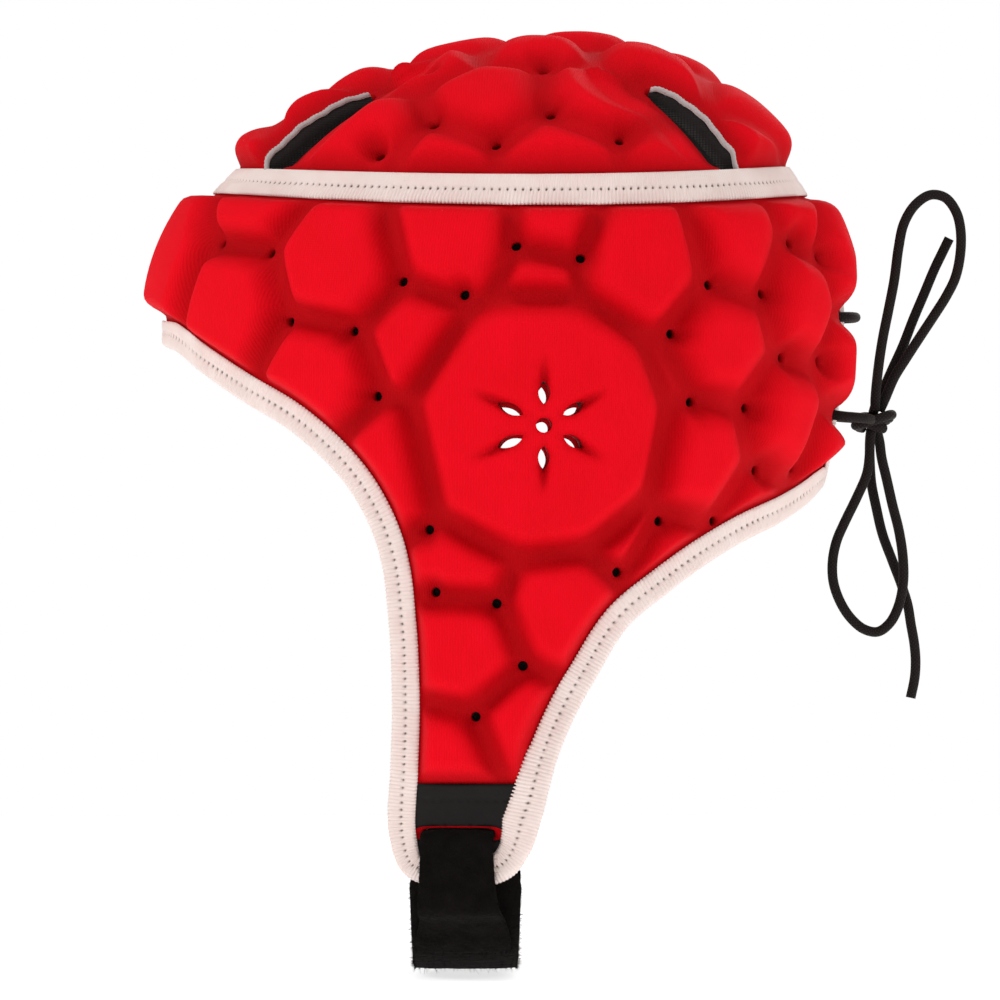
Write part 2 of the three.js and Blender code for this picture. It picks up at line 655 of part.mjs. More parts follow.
// Corners of a closed outline that stray more than a tolerance from the line through the others.
// A notch counts for more than a bulge, because the line across it runs over what makes the notch.
function corners(points, tolerance) {
  const keep = new Set([0, Math.floor(points.length / 2)]);
  const split = (from, to) => {
    const line = [points[from].flat, points[to % points.length].flat];
    let worst = tolerance;
    let at = -1;
    for (let i = from + 1; i < to; i += 1) {
      const notch = turnOf(line[0], line[1], points[i].flat) > 0 ? notchWeight : 1;
      const away = notch * distanceTo(points[i].flat, line);
      if (away > worst) [worst, at] = [away, i];
    }
    if (at < 0) return;
    keep.add(at);
    split(from, at);
    split(at, to);
  };
  split(0, Math.floor(points.length / 2));
  split(Math.floor(points.length / 2), points.length);
  return [...keep].sort((a, b) => a - b).map(i => points[i]);
}

// The roomiest place near a pad's middle, found by steps that shrink
function roomiest(seed, room) {
  let best = { turn: seed.turn, level: seed.level };
  let most = room(best.turn, best.level);
  for (let step = 4; step > 0.4; step /= 2) {
    for (let k = 0; k < 24; k += 1) {
      const next = stepFrom(best, k * Math.PI / 4, step);
      const value = room(next.turn, next.level);
      if (value > most) [best, most] = [next, value];
    }
  }
  if (seed.turn % 180 === 0 && seed.level > 0.01) best.turn = seed.turn;
  return best;
}

// A pad's foot in its channels, its shoulder and its crest as rings of places, and its middle
function padForm(seed, room) {
  const rays = 36;
  const centre = roomiest(seed, room);
  const outline = Array.from({ length: rays }, (_, i) => (
    reachOf(centre, 2 * Math.PI * i / rays, room, 0)));
  outline.forEach(p => {
    p.flat = new THREE.Vector3(Math.cos(p.angle), Math.sin(p.angle), 0).multiplyScalar(p.length);
  });
  const kept = corners(outline, cornerTolerance);
  const own = room(centre.turn, centre.level);
  const shoulder = Math.min(padShoulder, 0.7 * own);
  const rise = padRise * Math.min(1, 0.35 + 0.65 * own / padShoulder);
  const ring = (wanted, out) => (
    kept.map(p => ({ ...reachOf(centre, p.angle, room, wanted), out })));
  return {
    foot: ring(0, foamOuter),
    rings: [ring(0.55 * shoulder, foamOuter + 0.9 * rise)],
    middle: { ...centre, out: foamOuter + rise + padDome },
    own,
  };
}

// Panels: an outline with its pads and cuts, laid out flat in millimetres and cut into triangles

function sideChart(p) {
  const depth = p.level < 1 ? p.level * crownHeight : crownHeight + (p.level - 1) * cheekDepth;
  return new THREE.Vector2(p.turn * radians(1) * (halfWidth + browReach) / 2, depth);
}

function crownChart(p) {
  const disc = discOf(p.turn, p.level);
  return new THREE.Vector2(disc.x * halfWidth, -disc.y * (browReach + napeReach) / 2);
}

function turnOf(a, b, c) {
  return (b.x - a.x) * (c.y - a.y) - (b.y - a.y) * (c.x - a.x);
}

// Whether d lies inside the circle through a, b and c
function insideCircle(a, b, c, d) {
  const rows = [a, b, c].map(p => [p.x - d.x, p.y - d.y, (p.x - d.x) ** 2 + (p.y - d.y) ** 2]);
  const [p, q, r] = rows;
  return p[0] * (q[1] * r[2] - r[1] * q[2]) - p[1] * (q[0] * r[2] - r[0] * q[2])
    + p[2] * (q[0] * r[1] - r[0] * q[1]) > 1e-6;
}

// Turns shared edges until each triangle is as even as its corners allow
function evened(points, faces) {
  for (let pass = 0; pass < 40; pass += 1) {
    const owners = new Map();
    faces.forEach((face, f) => face.forEach((a, i) => owners.set(`${a},${face[(i + 1) % 3]}`, [f, i])));
    const touched = new Set();
    faces.forEach((face, f) => face.forEach((a, i) => {
      const b = face[(i + 1) % 3];
      const c = face[(i + 2) % 3];
      const twin = owners.get(`${b},${a}`);
      if (!twin || touched.has(f) || touched.has(twin[0])) return;
      const d = faces[twin[0]][(twin[1] + 2) % 3];
      const [pa, pb, pc, pd] = [a, b, c, d].map(k => points[k]);
      if (turnOf(pa, pd, pc) <= 0 || turnOf(pd, pb, pc) <= 0 || !insideCircle(pa, pb, pc, pd)) return;
      faces[f] = [a, d, c];
      faces[twin[0]] = [d, b, c];
      touched.add(f).add(twin[0]);
    }));
    if (touched.size === 0) break;
  }
  return faces;
}

// A closed panel between two offsets. Outline steps marked open are left for the mirrored half.
function panelSolid({ chart, outline, pads, cuts, padded, mirrored }, inner, outer) {
  const turned = loop => (THREE.ShapeUtils.area(loop.map(chart)) < 0 ? loop.slice().reverse() : loop);
  const rim = turned(outline);
  const feet = pads.map(pad => {
    const flipped = turned(pad.foot) !== pad.foot;
    const order = ring => (flipped ? ring.slice().reverse() : ring);
    return { foot: order(pad.foot), rings: pad.rings.map(order), middle: pad.middle };
  });
  const slots = cuts.map(turned);
  const loops = [rim, ...feet.map(pad => pad.foot), ...slots];
  const flat = loops.map(loop => loop.map(chart));
  const triangles = THREE.ShapeUtils.triangulateShape(flat[0], flat.slice(1));
  const flats = flat.flat();
  const faces = evened(flats, triangles.map(([a, b, c]) => (
    turnOf(flats[a], flats[b], flats[c]) > 0 ? [a, b, c] : [a, c, b])));
  const points = [];
  const index = [];
  const put = (p, out) => points.push(place(p.turn, p.level, out)) - 1;
  const high = loops.map(loop => loop.map(p => put(p, outer)));
  const low = loops.map(loop => loop.map(p => put(p, inner)));
  const [highs, lows] = [high.flat(), low.flat()];
  faces.forEach(([a, b, c]) => index.push(highs[a], highs[b], highs[c], lows[a], lows[c], lows[b]));
  const around = (loop, use) => loop.forEach((_, i) => use(i, (i + 1) % loop.length));
  around(rim, (i, j) => {
    if (mirrored && rim[i].turn === rim[j].turn && rim[i].turn % 180 === 0) return;
    index.push(high[0][j], high[0][i], low[0][i], high[0][j], low[0][i], low[0][j]);
  });
  slots.forEach((slot, k) => {
    const [top, under] = [high[1 + feet.length + k], low[1 + feet.length + k]];
    around(slot, (i, j) => index.push(top[i], top[j], under[j], top[i], under[j], under[i]));
  });
  feet.forEach((pad, k) => {
    let ring = high[1 + k];
    if (padded) {
      pad.rings.forEach(places => {
        const next = places.map(p => put(p, p.out));
        const from = ring;
        around(from, (i, j) => index.push(from[i], from[j], next[j], from[i], next[j], next[i]));
        ring = next;
      });
    }
    const top = put(pad.middle, padded ? pad.middle.out : outer);
    around(ring, (i, j) => index.push(ring[i], ring[j], top));
    const under = put(pad.middle, inner);
    around(low[1 + k], (i, j) => index.push(low[1 + k][j], low[1 + k][i], under));
  });
  if (mirrored) {
    const count = points.length;
    points.push(...points.map(p => new THREE.Vector3(-p.x, p.y, p.z)));
    const other = index.map(i => i + count).reverse();
    index.push(...other);
  }
  const geometry = new THREE.BufferGeometry().setFromPoints(points);
  geometry.setIndex(index);
  return solidOf(geometry);
}

// Outline of the left half of the side panel: the edge, the slit's end, the band and the brow
function sideOutline(gap) {
  const half = edge.slice(0, edge.length / 2 + 1);
  const low = half.map(row => (
    moved(row.turn, row.level, row.inward.clone().multiplyScalar(tapeWall + clearance), foamOuter)));
  low[0].turn = 0;
  low.at(-1).turn = 180;
  const rim = turn => bandLevel(turn) + gap / crownHeight;
  const between = (turn, from, to) => [0.33, 0.67].map(share => (
    { turn, level: THREE.MathUtils.lerp(from, to, share) }));
  const high = bandTurns.filter(turn => turn <= 180).reverse().map(turn => ({ turn, level: rim(turn) }));
  const slitEnd = between(180, low.at(-1).level, rim(180));
  return [...low, ...slitEnd, ...high, ...between(0, rim(0), low[0].level)];
}

function crownOutline(gap) {
  return bandTurns.slice(0, -1).map(turn => ({ turn, level: bandLevel(turn) - gap / crownHeight }));
}

// Outline of a slot over the crown, up one side of its middle line and down the other
function slotOutline(rows) {
  const side = sign => rows.map((row, i) => slotPlace(rows, i, sign * row.share * slotWidth / 2));
  return [...side(1), ...side(-1).reverse()];
}

// The place beside a row of a slot's middle line, at a sideways reach
function slotPlace(rows, i, reach) {
  const ahead = rows[Math.min(i + 1, rows.length - 1)];
  const behind = rows[Math.max(i - 1, 0)];
  const along = place(ahead.turn, ahead.level, foamOuter).sub(place(behind.turn, behind.level, foamOuter));
  const { turn, level } = rows[i];
  const across = tangents(turn, level, foamOuter).normal.cross(along).normalize();
  return moved(turn, level, across.multiplyScalar(reach), foamOuter);
}

// A bar along a slot's middle line, between two sideways reaches and two offsets
function slotBar(rows, reaches, inner, outer) {
  return bar(rows.map((row, i) => {
    const corner = (reach, out) => {
      const to = slotPlace(rows, i, reach);
      return place(to.turn, to.level, out);
    };
    const [near, far] = reaches(row);
    return [corner(near, inner), corner(far, inner), corner(far, outer), corner(near, outer)];
  }));
}

// Hearing vent over an ear: a round hole, six short slots and a crease running out from each
function earVent(side) {
  const seed = sidePads.find(row => row.name === 'ear');
  const turn = side * seed.turn;
  const middle = place(turn, seed.level, 0);
  const { alongTurn, normal } = tangents(turn, seed.level, 0);
  const across = alongTurn.clone().normalize();
  const up = new THREE.Vector3().crossVectors(normal, across).normalize();
  const at = (along, aside, angle, out) => middle.clone()
    .addScaledVector(across, along * Math.cos(angle) - aside * Math.sin(angle))
    .addScaledVector(up, along * Math.sin(angle) + aside * Math.cos(angle))
    .addScaledVector(normal, out);
  const tools = [drill(turn, seed.level, earVentRadius, -cutReach, padTop + cutReach, 8)];
  const half = earSlotWidth / 2;
  for (let k = 0; k < 6; k += 1) {
    const angle = radians(30 + 60 * k);
    const outline = [[earSlotNear, 0], [(earSlotNear + earSlotFar) / 2, half],
      [earSlotFar, 0], [(earSlotNear + earSlotFar) / 2, -half]];
    const ring = out => outline.map(([along, aside]) => at(along, aside, angle, out));
    tools.push(solidOf(skin([ring(-cutReach), ring(padTop + cutReach)])));
    const mouth = earSlotFar - half;
    const crest = padTop + padDome - 0.5;
    const crease = [
      at(mouth, half, angle, crest + 4), at(mouth, -half, angle, crest + 4),
      at(mouth, 0, angle, crest - earCreaseDepth),
    ];
    const tip = at(earCreaseReach, 0, angle, crest);
    const end = crease.map(() => tip.clone());
    tools.push(solidOf(skin([crease, end])));
  }
  return wasm.Manifold.union(tools);
}

function laceCuts() {
  return laceHoles.flatMap(hole => [1, -1].map(side => (
    drill(side * laceTurn, hole.level, laceHoleRadius, -cutReach, padTop + cutReach, 8))));
}

// The slot through an ear flap that the chin strap passes
function strapSlot(side) {
  const half = foldWidth / 2 + 2 * clearance;
  const reach = radians(1) * (browReach * cheekShares.at(-1).brow);
  const tip = -crownHeight - cheekDepth;
  const turns = [-1, -0.5, 0, 0.5, 1].map(share => side * (strapTurn + share * half / reach));
  const low = 1 + (-(tip + strapSlotDrop) - crownHeight) / cheekDepth;
  const high = low - strapSlotHeight / cheekDepth;
  return bar(turns.map(turn => [
    place(turn, low, -cutReach), place(turn, high, -cutReach),
    place(turn, high, padTop + cutReach), place(turn, low, padTop + cutReach)]));
}

const earVents = [earVent(1), earVent(-1)];
const strapSlots = [strapSlot(1), strapSlot(-1)];

// Outline of a round vent through the foam
function ventOutline(row) {
  return Array.from({ length: ventSides }, (_, i) => (
    stepFrom(row, 2 * Math.PI * i / ventSides, ventRadius)));
}

const crownPanel = {
  chart: crownChart, outline: crownOutline(seamGap / 2), cuts: slotRows.map(slotOutline),
  vents: crownVentPlaces.map(ventOutline),
  pads: padForms(crownPads, crownRoom, () => true) };
const sidePanel = {
  chart: sideChart, outline: sideOutline(seamGap / 2), cuts: [], mirrored: true,
  vents: sideVentPlaces.map(ventOutline),
  pads: padForms(sidePads, sideRoom, seed => seed.turn > 0) };

// The foam panels are pierced by the vents; the lining behind them isn't
function pierced(panel) {
  return { ...panel, cuts: [...panel.cuts, ...panel.vents], padded: true };
}

function crownPad() {
  return panelSolid(pierced(crownPanel), foamInner, foamOuter);
}

function sidePad() {
  const padded = panelSolid(pierced(sidePanel), foamInner, foamOuter);
  return padded.subtract(wasm.Manifold.union([...laceCuts(), ...earVents, ...strapSlots]));
}

// The lining runs under both panels in one piece
function lining() {
  const upper = panelSolid({ ...crownPanel, outline: crownOutline(0) }, 0, liningWall);
  const lower = panelSolid({ ...sidePanel, outline: sideOutline(0) }, 0, liningWall);
  const ear = sidePads.find(row => row.name === 'ear');
  const windows = bothSides(ear).map(row => (
    drill(row.turn, row.level, earSlotFar + 1, -cutReach, padTop, 10)));
  const tools = [...laceCuts(), ...windows, ...strapSlots];
  return largest(upper.add(lower).subtract(wasm.Manifold.union(tools)));
}

// Tapes

function bandTape() {
  const rows = Array.from({ length: bandSteps }, (_, i) => {
    const turn = i * 360 / bandSteps;
    const level = bandLevel(turn);
    const { alongLevel } = tangents(turn, level, tapeInner);
    const half = bandWidth / 2 / alongLevel.length();
    return [
      place(turn, level - half, tapeInner), place(turn, level + half, tapeInner),
      place(turn, level + half, tapeOuter), place(turn, level - half, tapeOuter),
    ];
  });
  return bar(rows, true);
}

// Binding folded over the edge, as a U whose two legs lie on the foam and on the lining
function edgeBinding() {
  return solidOf(skin(edge.map(row => {
    const leg = Math.min(bindingWidth, row.limit);
    const corner = (inset, out) => fromEdge(row, inset, out);
    return [
      corner(leg, tapeOuter), corner(0, tapeOuter),
      corner(0, innerTapeTop - tapeWall), corner(leg, innerTapeTop - tapeWall),
      corner(leg, innerTapeTop), corner(tapeWall, innerTapeTop),
      corner(tapeWall, tapeInner), corner(leg, tapeInner),
    ];
  }), true));
}

// Tape along the side of a slot that faces the crown's middle, standing up with a small lip
function slotBinding(rows) {
  const { turn } = rows[0];
  const facing = Math.sign(turn) * Math.sign(Math.abs(turn) - 90);
  const halfway = (a, b) => Object.fromEntries(Object.keys(a).map(key => [key, (a[key] + b[key]) / 2]));
  const shortened = [halfway(rows[0], rows[1]), ...rows.slice(1, -1), halfway(rows.at(-2), rows.at(-1))];
  return slotBar(shortened, row => {
    const rim = row.share * slotWidth / 2 - clearance;
    const back = Math.max(rim - slotTapeWall, -rim + leastTape);
    return facing > 0 ? [back, rim] : [-rim, -back];
  }, 0, foamOuter + slotTapeLip);
}

// Flap patches and chin strap

function flapPatch(side) {
  const first = 1 + (cheekDepth - patchHeight) / cheekDepth;
  const wall = wallAround(turn => [bandLevel(turn), 1, 1.4, first, first + 0.1, 2, lowestLevel],
    tapeInner, patchOuter);
  const low = trimmed(wall, besideBinding)
    .trimByPlane([0, 0, -1], crownHeight + cheekDepth - patchHeight)
    .trimByPlane([side, 0, 0], 0);
  return largest(low.subtract(strapSlots[side > 0 ? 0 : 1]));
}

// Rows of the strap from the free end outside the left flap, through its slot and under the chin
function strapRows() {
  const tip = crownHeight + cheekDepth;
  const outside = patchOuter + clearance + strapWall / 2;
  const inside = innerTapeTop - tapeWall - clearance - strapWall / 2;
  const slotDepth = tip - strapSlotDrop - strapSlotHeight / 2;
  const rows = [];
  // Below the flap both layers follow an arc under the chin: share 0 at the flap, 1 at the middle
  const arc = (share, out, width) => rows.push({ share, out, width });
  const flat = (depth, out, width) => rows.push({ depth, out, width });
  const gapBelow = strapWall + clearance * 2;
  arc(0.46, inside + gapBelow, foldEndWidth);
  arc(0.38, inside + gapBelow, foldEndWidth);
  arc(0.29, inside + gapBelow, 0.95 * foldEndWidth);
  arc(0.20, inside + gapBelow + 1.5, 0.88 * foldEndWidth);
  arc(0.10, outside - 1.2, 0.8 * foldEndWidth);
  flat(tip, outside, foldWidth * 1.05);
  flat(slotDepth + 6, outside, foldWidth);
  flat(slotDepth + 1.9, outside, foldWidth);
  flat(slotDepth + 0.6, outside - 0.7, foldWidth);
  flat(slotDepth, outside - 2.2, foldWidth);
  flat(slotDepth, inside + 2.2, foldWidth);
  flat(slotDepth + 0.6, inside + 0.7, foldWidth);
  flat(slotDepth + 1.9, inside, foldWidth);
  flat(tip - 4, inside, 0.9 * strapWidth);
  flat(tip, inside, strapWidth);
  for (const share of [0.1, 0.2, 0.3, 0.4, 0.5, 0.62, 0.74, 0.87, 1]) {
    arc(share, inside, strapWidth * (1 - strapTaper * share));
  }
  return rows;
}

// A point of the strap, at a share of its width beside its middle line
function strapPoint(row, aside) {
  const perTurn = radians(1) * browReach * cheekShares.at(-1).brow;
  const turn = strapTurn + aside * row.width / perTurn;
  if (row.share === undefined) {
    const level = 1 + (row.depth - crownHeight) / cheekDepth;
    return place(turn, level, row.out).setZ(-row.depth);
  }
  const angle = row.share * Math.PI / 2;
  const rim = place(turn, 2, row.out);
  const across = rim.x * Math.cos(angle) ** chinPower;
  return new THREE.Vector3(across, rim.y, rim.z - (chinDrop + row.out) * Math.sin(angle) ** chinPower);
}

// The strap's thickness lies across its own line: outwards, or up and down inside the slot
function chinStrap() {
  const rows = strapRows();
  const centres = rows.map(row => strapPoint(row, 0));
  const rings = rows.map((row, i) => {
    const behind = centres[Math.max(i - 1, 0)];
    const ahead = centres[i + 1] ?? new THREE.Vector3(-behind.x, behind.y, behind.z);
    const along = ahead.clone().sub(behind);
    const lift = new THREE.Vector3(-along.z, 0, along.x).normalize().multiplyScalar(strapWall / 2);
    return [
      ...[-0.5, 0, 0.5].map(aside => strapPoint(row, aside).sub(lift)),
      ...[0.5, 0, -0.5].map(aside => strapPoint(row, aside).add(lift)),
    ];
  });
  const mirrored = rings.slice(0, -1).reverse().map(ring => (
    ring.map(p => new THREE.Vector3(-p.x, p.y, p.z))));
  return solidOf(skin([...rings, ...mirrored]));
}

// Lace

function cordAlong(points, diameter, steps) {
  const section = new THREE.Shape();
  const sides = 8;
  for (let i = 0; i < sides; i += 1) {
    const angle = 2 * Math.PI * i / sides;
    const [x, y] = [diameter / 2 * Math.cos(angle), diameter / 2 * Math.sin(angle)];
    if (i === 0) section.moveTo(x, y);
    else section.lineTo(x, y);
  }
  section.closePath();
  const path = new THREE.CatmullRomCurve3(points, false, 'centripetal');
  return new THREE.ExtrudeGeometry(section, {
    extrudePath: path, steps, bevelEnabled: false, curveSegments: sides });
}

// The knot, grown by a clearance where it cuts the ends of the cords that come out of it
function knotForm(growth) {
  const geometry = new THREE.SphereGeometry(knotWidth / 2 + growth, 12, 8);
  geometry.scale(1, knotShares.depth, knotShares.height);
  geometry.translate(...knotPlace);
  return solidOf(geometry);
}

function knotted(points, steps) {
  return largest(solidOf(cordAlong(points, laceDiameter, steps)).subtract(knotForm(clearance)));
}

function laceRun() {
  const left = laceRunRoute.map(row => place(row.turn, row.level, row.out));
  const right = left.slice(1).reverse().map(p => new THREE.Vector3(-p.x, p.y, p.z));
  return knotted([...right, ...left], 42);
}

function laceRoute(route, steps) {
  return knotted(route.map(p => new THREE.Vector3(...p)), steps);
}

// Materials

const finish = {
  foam: { color: 0xd90712, roughness: 0.82, metalness: 0 },
  lining: { color: 0x17120f, roughness: 0.95, metalness: 0 },
  tape: { color: 0xf0dcd4, roughness: 0.85, metalness: 0 },
  slotTape: { color: 0xcfc4c0, roughness: 0.85, metalness: 0 },
  patch: { color: 0x141110, roughness: 0.5, metalness: 0 },
  strap: { color: 0x0f0c0b, roughness: 1, metalness: 0 },
  lace: { color: 0x1a1412, roughness: 0.8, metalness: 0 },
};

const cap = new THREE.Group();

function add(name, geometry, look) {
  const mesh = new THREE.Mesh(geometry, new THREE.MeshStandardMaterial(finish[look]));
  mesh.name = name;
  cap.add(mesh);
}

add('crown_pad', geometryOf(crownPad()), 'foam');
add('side_pad', geometryOf(sidePad()), 'foam');
add('lining', geometryOf(lining()), 'lining');
add('band_tape', geometryOf(bandTape()), 'tape');
add('edge_binding', geometryOf(edgeBinding()), 'tape');
['front_left', 'front_right', 'back_left', 'back_right'].forEach((name, i) => {
  add(`slot_binding_${name}`, geometryOf(slotBinding(slotRows[i])), 'slotTape');
});
add('flap_patch_left', geometryOf(flapPatch(1)), 'patch');
add('flap_patch_right', geometryOf(flapPatch(-1)), 'patch');
add('chin_strap', geometryOf(chinStrap()), 'strap');
add('lace_run', geometryOf(laceRun()), 'lace');
add('lace_knot', geometryOf(knotForm(0)), 'lace');
add('lace_loop_up', geometryOf(laceRoute(loopUpRoute, 26)), 'lace');
add('lace_loop_down', geometryOf(laceRoute(loopDownRoute, 26)), 'lace');
add('lace_end_up', geometryOf(laceRoute(endUpRoute, 10)), 'lace');
add('lace_end_down', geometryOf(laceRoute(endDownRoute, 14)), 'lace');

export default cap;
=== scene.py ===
# %% [markdown]
# A rugby scrum cap is a soft helmet: foam cells under a knitted cover, ribbed tape over its edges, a
# brushed strap under the chin and an elastic lace at the nape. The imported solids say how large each
# piece is and where it lies. Every piece made here takes the place of one of them and adds its look.

# %% The frame
import bpy
import numpy as np
from mathutils.geometry import delaunay_2d_cdt
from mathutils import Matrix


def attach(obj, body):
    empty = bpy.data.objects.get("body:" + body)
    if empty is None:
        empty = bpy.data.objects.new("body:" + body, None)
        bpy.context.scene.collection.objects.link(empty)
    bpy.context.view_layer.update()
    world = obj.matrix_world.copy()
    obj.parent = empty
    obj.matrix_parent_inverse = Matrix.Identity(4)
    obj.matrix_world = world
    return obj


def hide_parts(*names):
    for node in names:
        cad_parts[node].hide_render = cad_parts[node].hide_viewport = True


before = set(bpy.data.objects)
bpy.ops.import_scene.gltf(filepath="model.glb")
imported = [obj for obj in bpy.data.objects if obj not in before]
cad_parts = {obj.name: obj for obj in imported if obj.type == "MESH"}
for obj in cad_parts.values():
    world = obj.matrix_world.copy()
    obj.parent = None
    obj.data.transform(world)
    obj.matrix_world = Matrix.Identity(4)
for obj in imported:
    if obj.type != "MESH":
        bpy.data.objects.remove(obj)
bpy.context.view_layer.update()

mm = 0.001

# %% [markdown]
# The cap is seen square on from the wearer's left, which is +X here. A view without perspective would
# do as well, but a long lens far away keeps near and far cells at nearly one scale and still looks like
# a photograph. The lens follows from the real size of one pixel of the picture.

# %% Camera
pixel_size = 0.30 * mm
picture_pixels = 1000
picture_middle = {"y": -21.5 * mm, "z": -127.7 * mm}
camera_distance = 3.0
sensor_width = 36.0

camera_data = bpy.data.cameras.new("camera")
camera_data.sensor_width = sensor_width
camera_data.lens = sensor_width * camera_distance / (picture_pixels * pixel_size)
camera = bpy.data.objects.new("camera", camera_data)
camera.location = (camera_distance, picture_middle["y"], picture_middle["z"])
camera.rotation_euler = (np.pi / 2, 0, np.pi / 2)
bpy.context.scene.collection.objects.link(camera)
bpy.context.scene.camera = camera
print("lens in millimetres", camera_data.lens)

# %% [markdown]
# Cloth, foam and cord all become closed meshes. Sculpting or modifiers could shape them, but a grid or
# a net of points worked out as arrays keeps every size named and comes out the same on each run. One
# helper turns arrays into an object, with smooth shading, a map in millimetres for the weave, and any
# extra value per point that a material needs. It also turns the faces outwards, by the sign of the
# volume they enclose.

# %% Making a piece
def turned_outwards(points, faces):
    """Faces in the order that makes the enclosed volume positive: the sum, over triangles that fan out
    of each face's first corner, of corner a dot (corner b cross corner c), is six times the volume."""
    a = points[faces[:, 0]]
    volume = 0.0
    for k in range(1, faces.shape[1] - 1):
        volume += np.einsum("ij,ij->", a, np.cross(points[faces[:, k]], points[faces[:, k + 1]]))
    return faces if volume > 0 else faces[:, ::-1]


def make_piece(name, points, faces, material, cloth, values=None, replaced=True):
    """An object at the origin from points and triangles, with its material. cloth is a map in
    millimetres, one pair per point, and values are further numbers per point by name. The solid of
    the same name gives way to it, unless replaced is False."""
    faces = turned_outwards(points, np.asarray(faces))
    node = name.replace(" ", "_")
    name = name.replace(" ", "-")
    mesh = bpy.data.meshes.new(name)
    mesh.from_pydata(points, [], faces)
    mesh.shade_smooth()
    corner_points = np.empty(len(mesh.loops), dtype=np.int32)
    mesh.loops.foreach_get("vertex_index", corner_points)
    mesh.uv_layers.new(name="cloth").data.foreach_set("uv", cloth[corner_points].ravel())
    for key, value in (values or {}).items():
        mesh.attributes.new(key, "FLOAT", "POINT").data.foreach_set("value", value.astype(np.float32))
    mesh.materials.append(material)
    piece = bpy.data.objects.new(name, mesh)
    bpy.context.scene.collection.objects.link(piece)
    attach(piece, "root")
    if replaced:
        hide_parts(node)
    print(name, len(points), "points", len(faces), "faces")
    return piece


# %% [markdown]
# A real cap takes the form of the head in it. That form could be scanned or modelled by hand. Here a
# formula gives it, so every layer can follow it at its own distance. A place on the cap is a turn, a
# level and an offset, as in the part's own source. The turn goes round the head in degrees from the
# brow, over the left ear at 90, to the nape at 180. The level goes from 0 at the crown over 1 at the
# widest girth to 2 at the tips of the ear flaps. The offset goes outwards.

# %% Form of the cap
brow_reach = 105 * mm
nape_reach = 88 * mm
half_width = 77 * mm
crown_height = 75 * mm
cheek_depth = 166 * mm
axis_setback = 12 * mm
brow_roundness = 2.1
nape_roundness = 1.85
side_roundness = 2.25

cheek_levels = [1.00, 1.14, 1.25, 1.35, 1.50, 1.70, 1.85, 2.00]
cheek_shares = {
    "brow": [1.00, 1.000, 1.000, 1.000, 1.000, 0.970, 0.960, 0.950],
    "nape": [1.00, 0.985, 0.950, 0.910, 0.870, 0.850, 0.840, 0.830],
    "side": [1.00, 1.000, 0.990, 0.975, 0.940, 0.865, 0.800, 0.740],
}


def ring_power(turn):
    """The superellipse power at a turn: the ears' power times sine squared plus the ends' power times
    cosine squared."""
    cos = np.cos(np.radians(turn))
    ends = np.where(cos > 0, brow_roundness, nape_roundness)
    return side_roundness * (1 - cos * cos) + ends * cos * cos


def place(turn, level, out):
    """A point of the cap. Over the crown each ring's radius r and height h, as shares, keep r to the
    power p plus h to the power p equal to 1. Below the girth the rings are ellipses that shrink."""
    turn, level, out = np.broadcast_arrays(*(np.asarray(v, float) for v in (turn, level, out)))
    sin, cos = np.sin(np.radians(turn)), np.cos(np.radians(turn))
    top = np.clip(1 - level, 0, 1)
    power = ring_power(turn)
    ring = np.maximum(0, 1 - top**power) ** (1 / power)
    brow, nape, side = (np.interp(level, cheek_levels, cheek_shares[k]) for k in ("brow", "nape", "side"))
    reach = np.where(cos > 0, brow_reach * brow, nape_reach * nape) + out
    x = (half_width * side + out) * ring * sin
    y = -axis_setback * (1 - top * top) - reach * ring * cos
    return np.stack([x, y, -depth_of(level) + out * top], axis=-1)


def tangents(turn, level, out):
    """Slopes of the form along turn (per degree) and along level (per unit), by small differences, and
    the outward normal, their cross product."""
    step = 0.01
    along_turn = (place(turn + step, level, out) - place(turn - step, level, out)) / (2 * step)
    low = np.maximum(level - step, 0)
    along_level = (place(turn, level + step, out) - place(turn, low, out)) / (level + step - low)[..., None]
    normal = np.cross(along_level, along_turn)
    return along_turn, along_level, normal / np.linalg.norm(normal, axis=-1, keepdims=True)


def moved(turn, level, move, out):
    """Turn and level after a small move in metres: the least-squares share of the move along each of
    the two slopes."""
    a, b, _ = tangents(turn, level, out)
    aa, ab, bb = (np.sum(p * q, axis=-1) for p, q in ((a, a), (a, b), (b, b)))
    am, bm = (np.sum(p * move, axis=-1) for p in (a, b))
    det = aa * bb - ab * ab
    return turn + (am * bb - bm * ab) / det, level + (bm * aa - am * ab) / det


def level_of(depth):
    """The level at a depth below the crown."""
    return np.where(depth < crown_height, depth / crown_height, 1 + (depth - crown_height) / cheek_depth)


def depth_of(level):
    """The depth below the crown at a level."""
    return np.where(level < 1, level * crown_height, crown_height + (level - 1) * cheek_depth)

# %% [markdown]
# Edges, tapes, cords and the strap all follow smooth lines through a few chosen points. Blender's
# curves would do for one of them, but a line that is an array can also be walked, spaced evenly and
# offset.

# %% Smooth lines
def walked(path):
    """The way walked along a line of points, from 0 at its first."""
    return np.concatenate([[0], np.cumsum(np.linalg.norm(np.diff(path, axis=0), axis=1))])


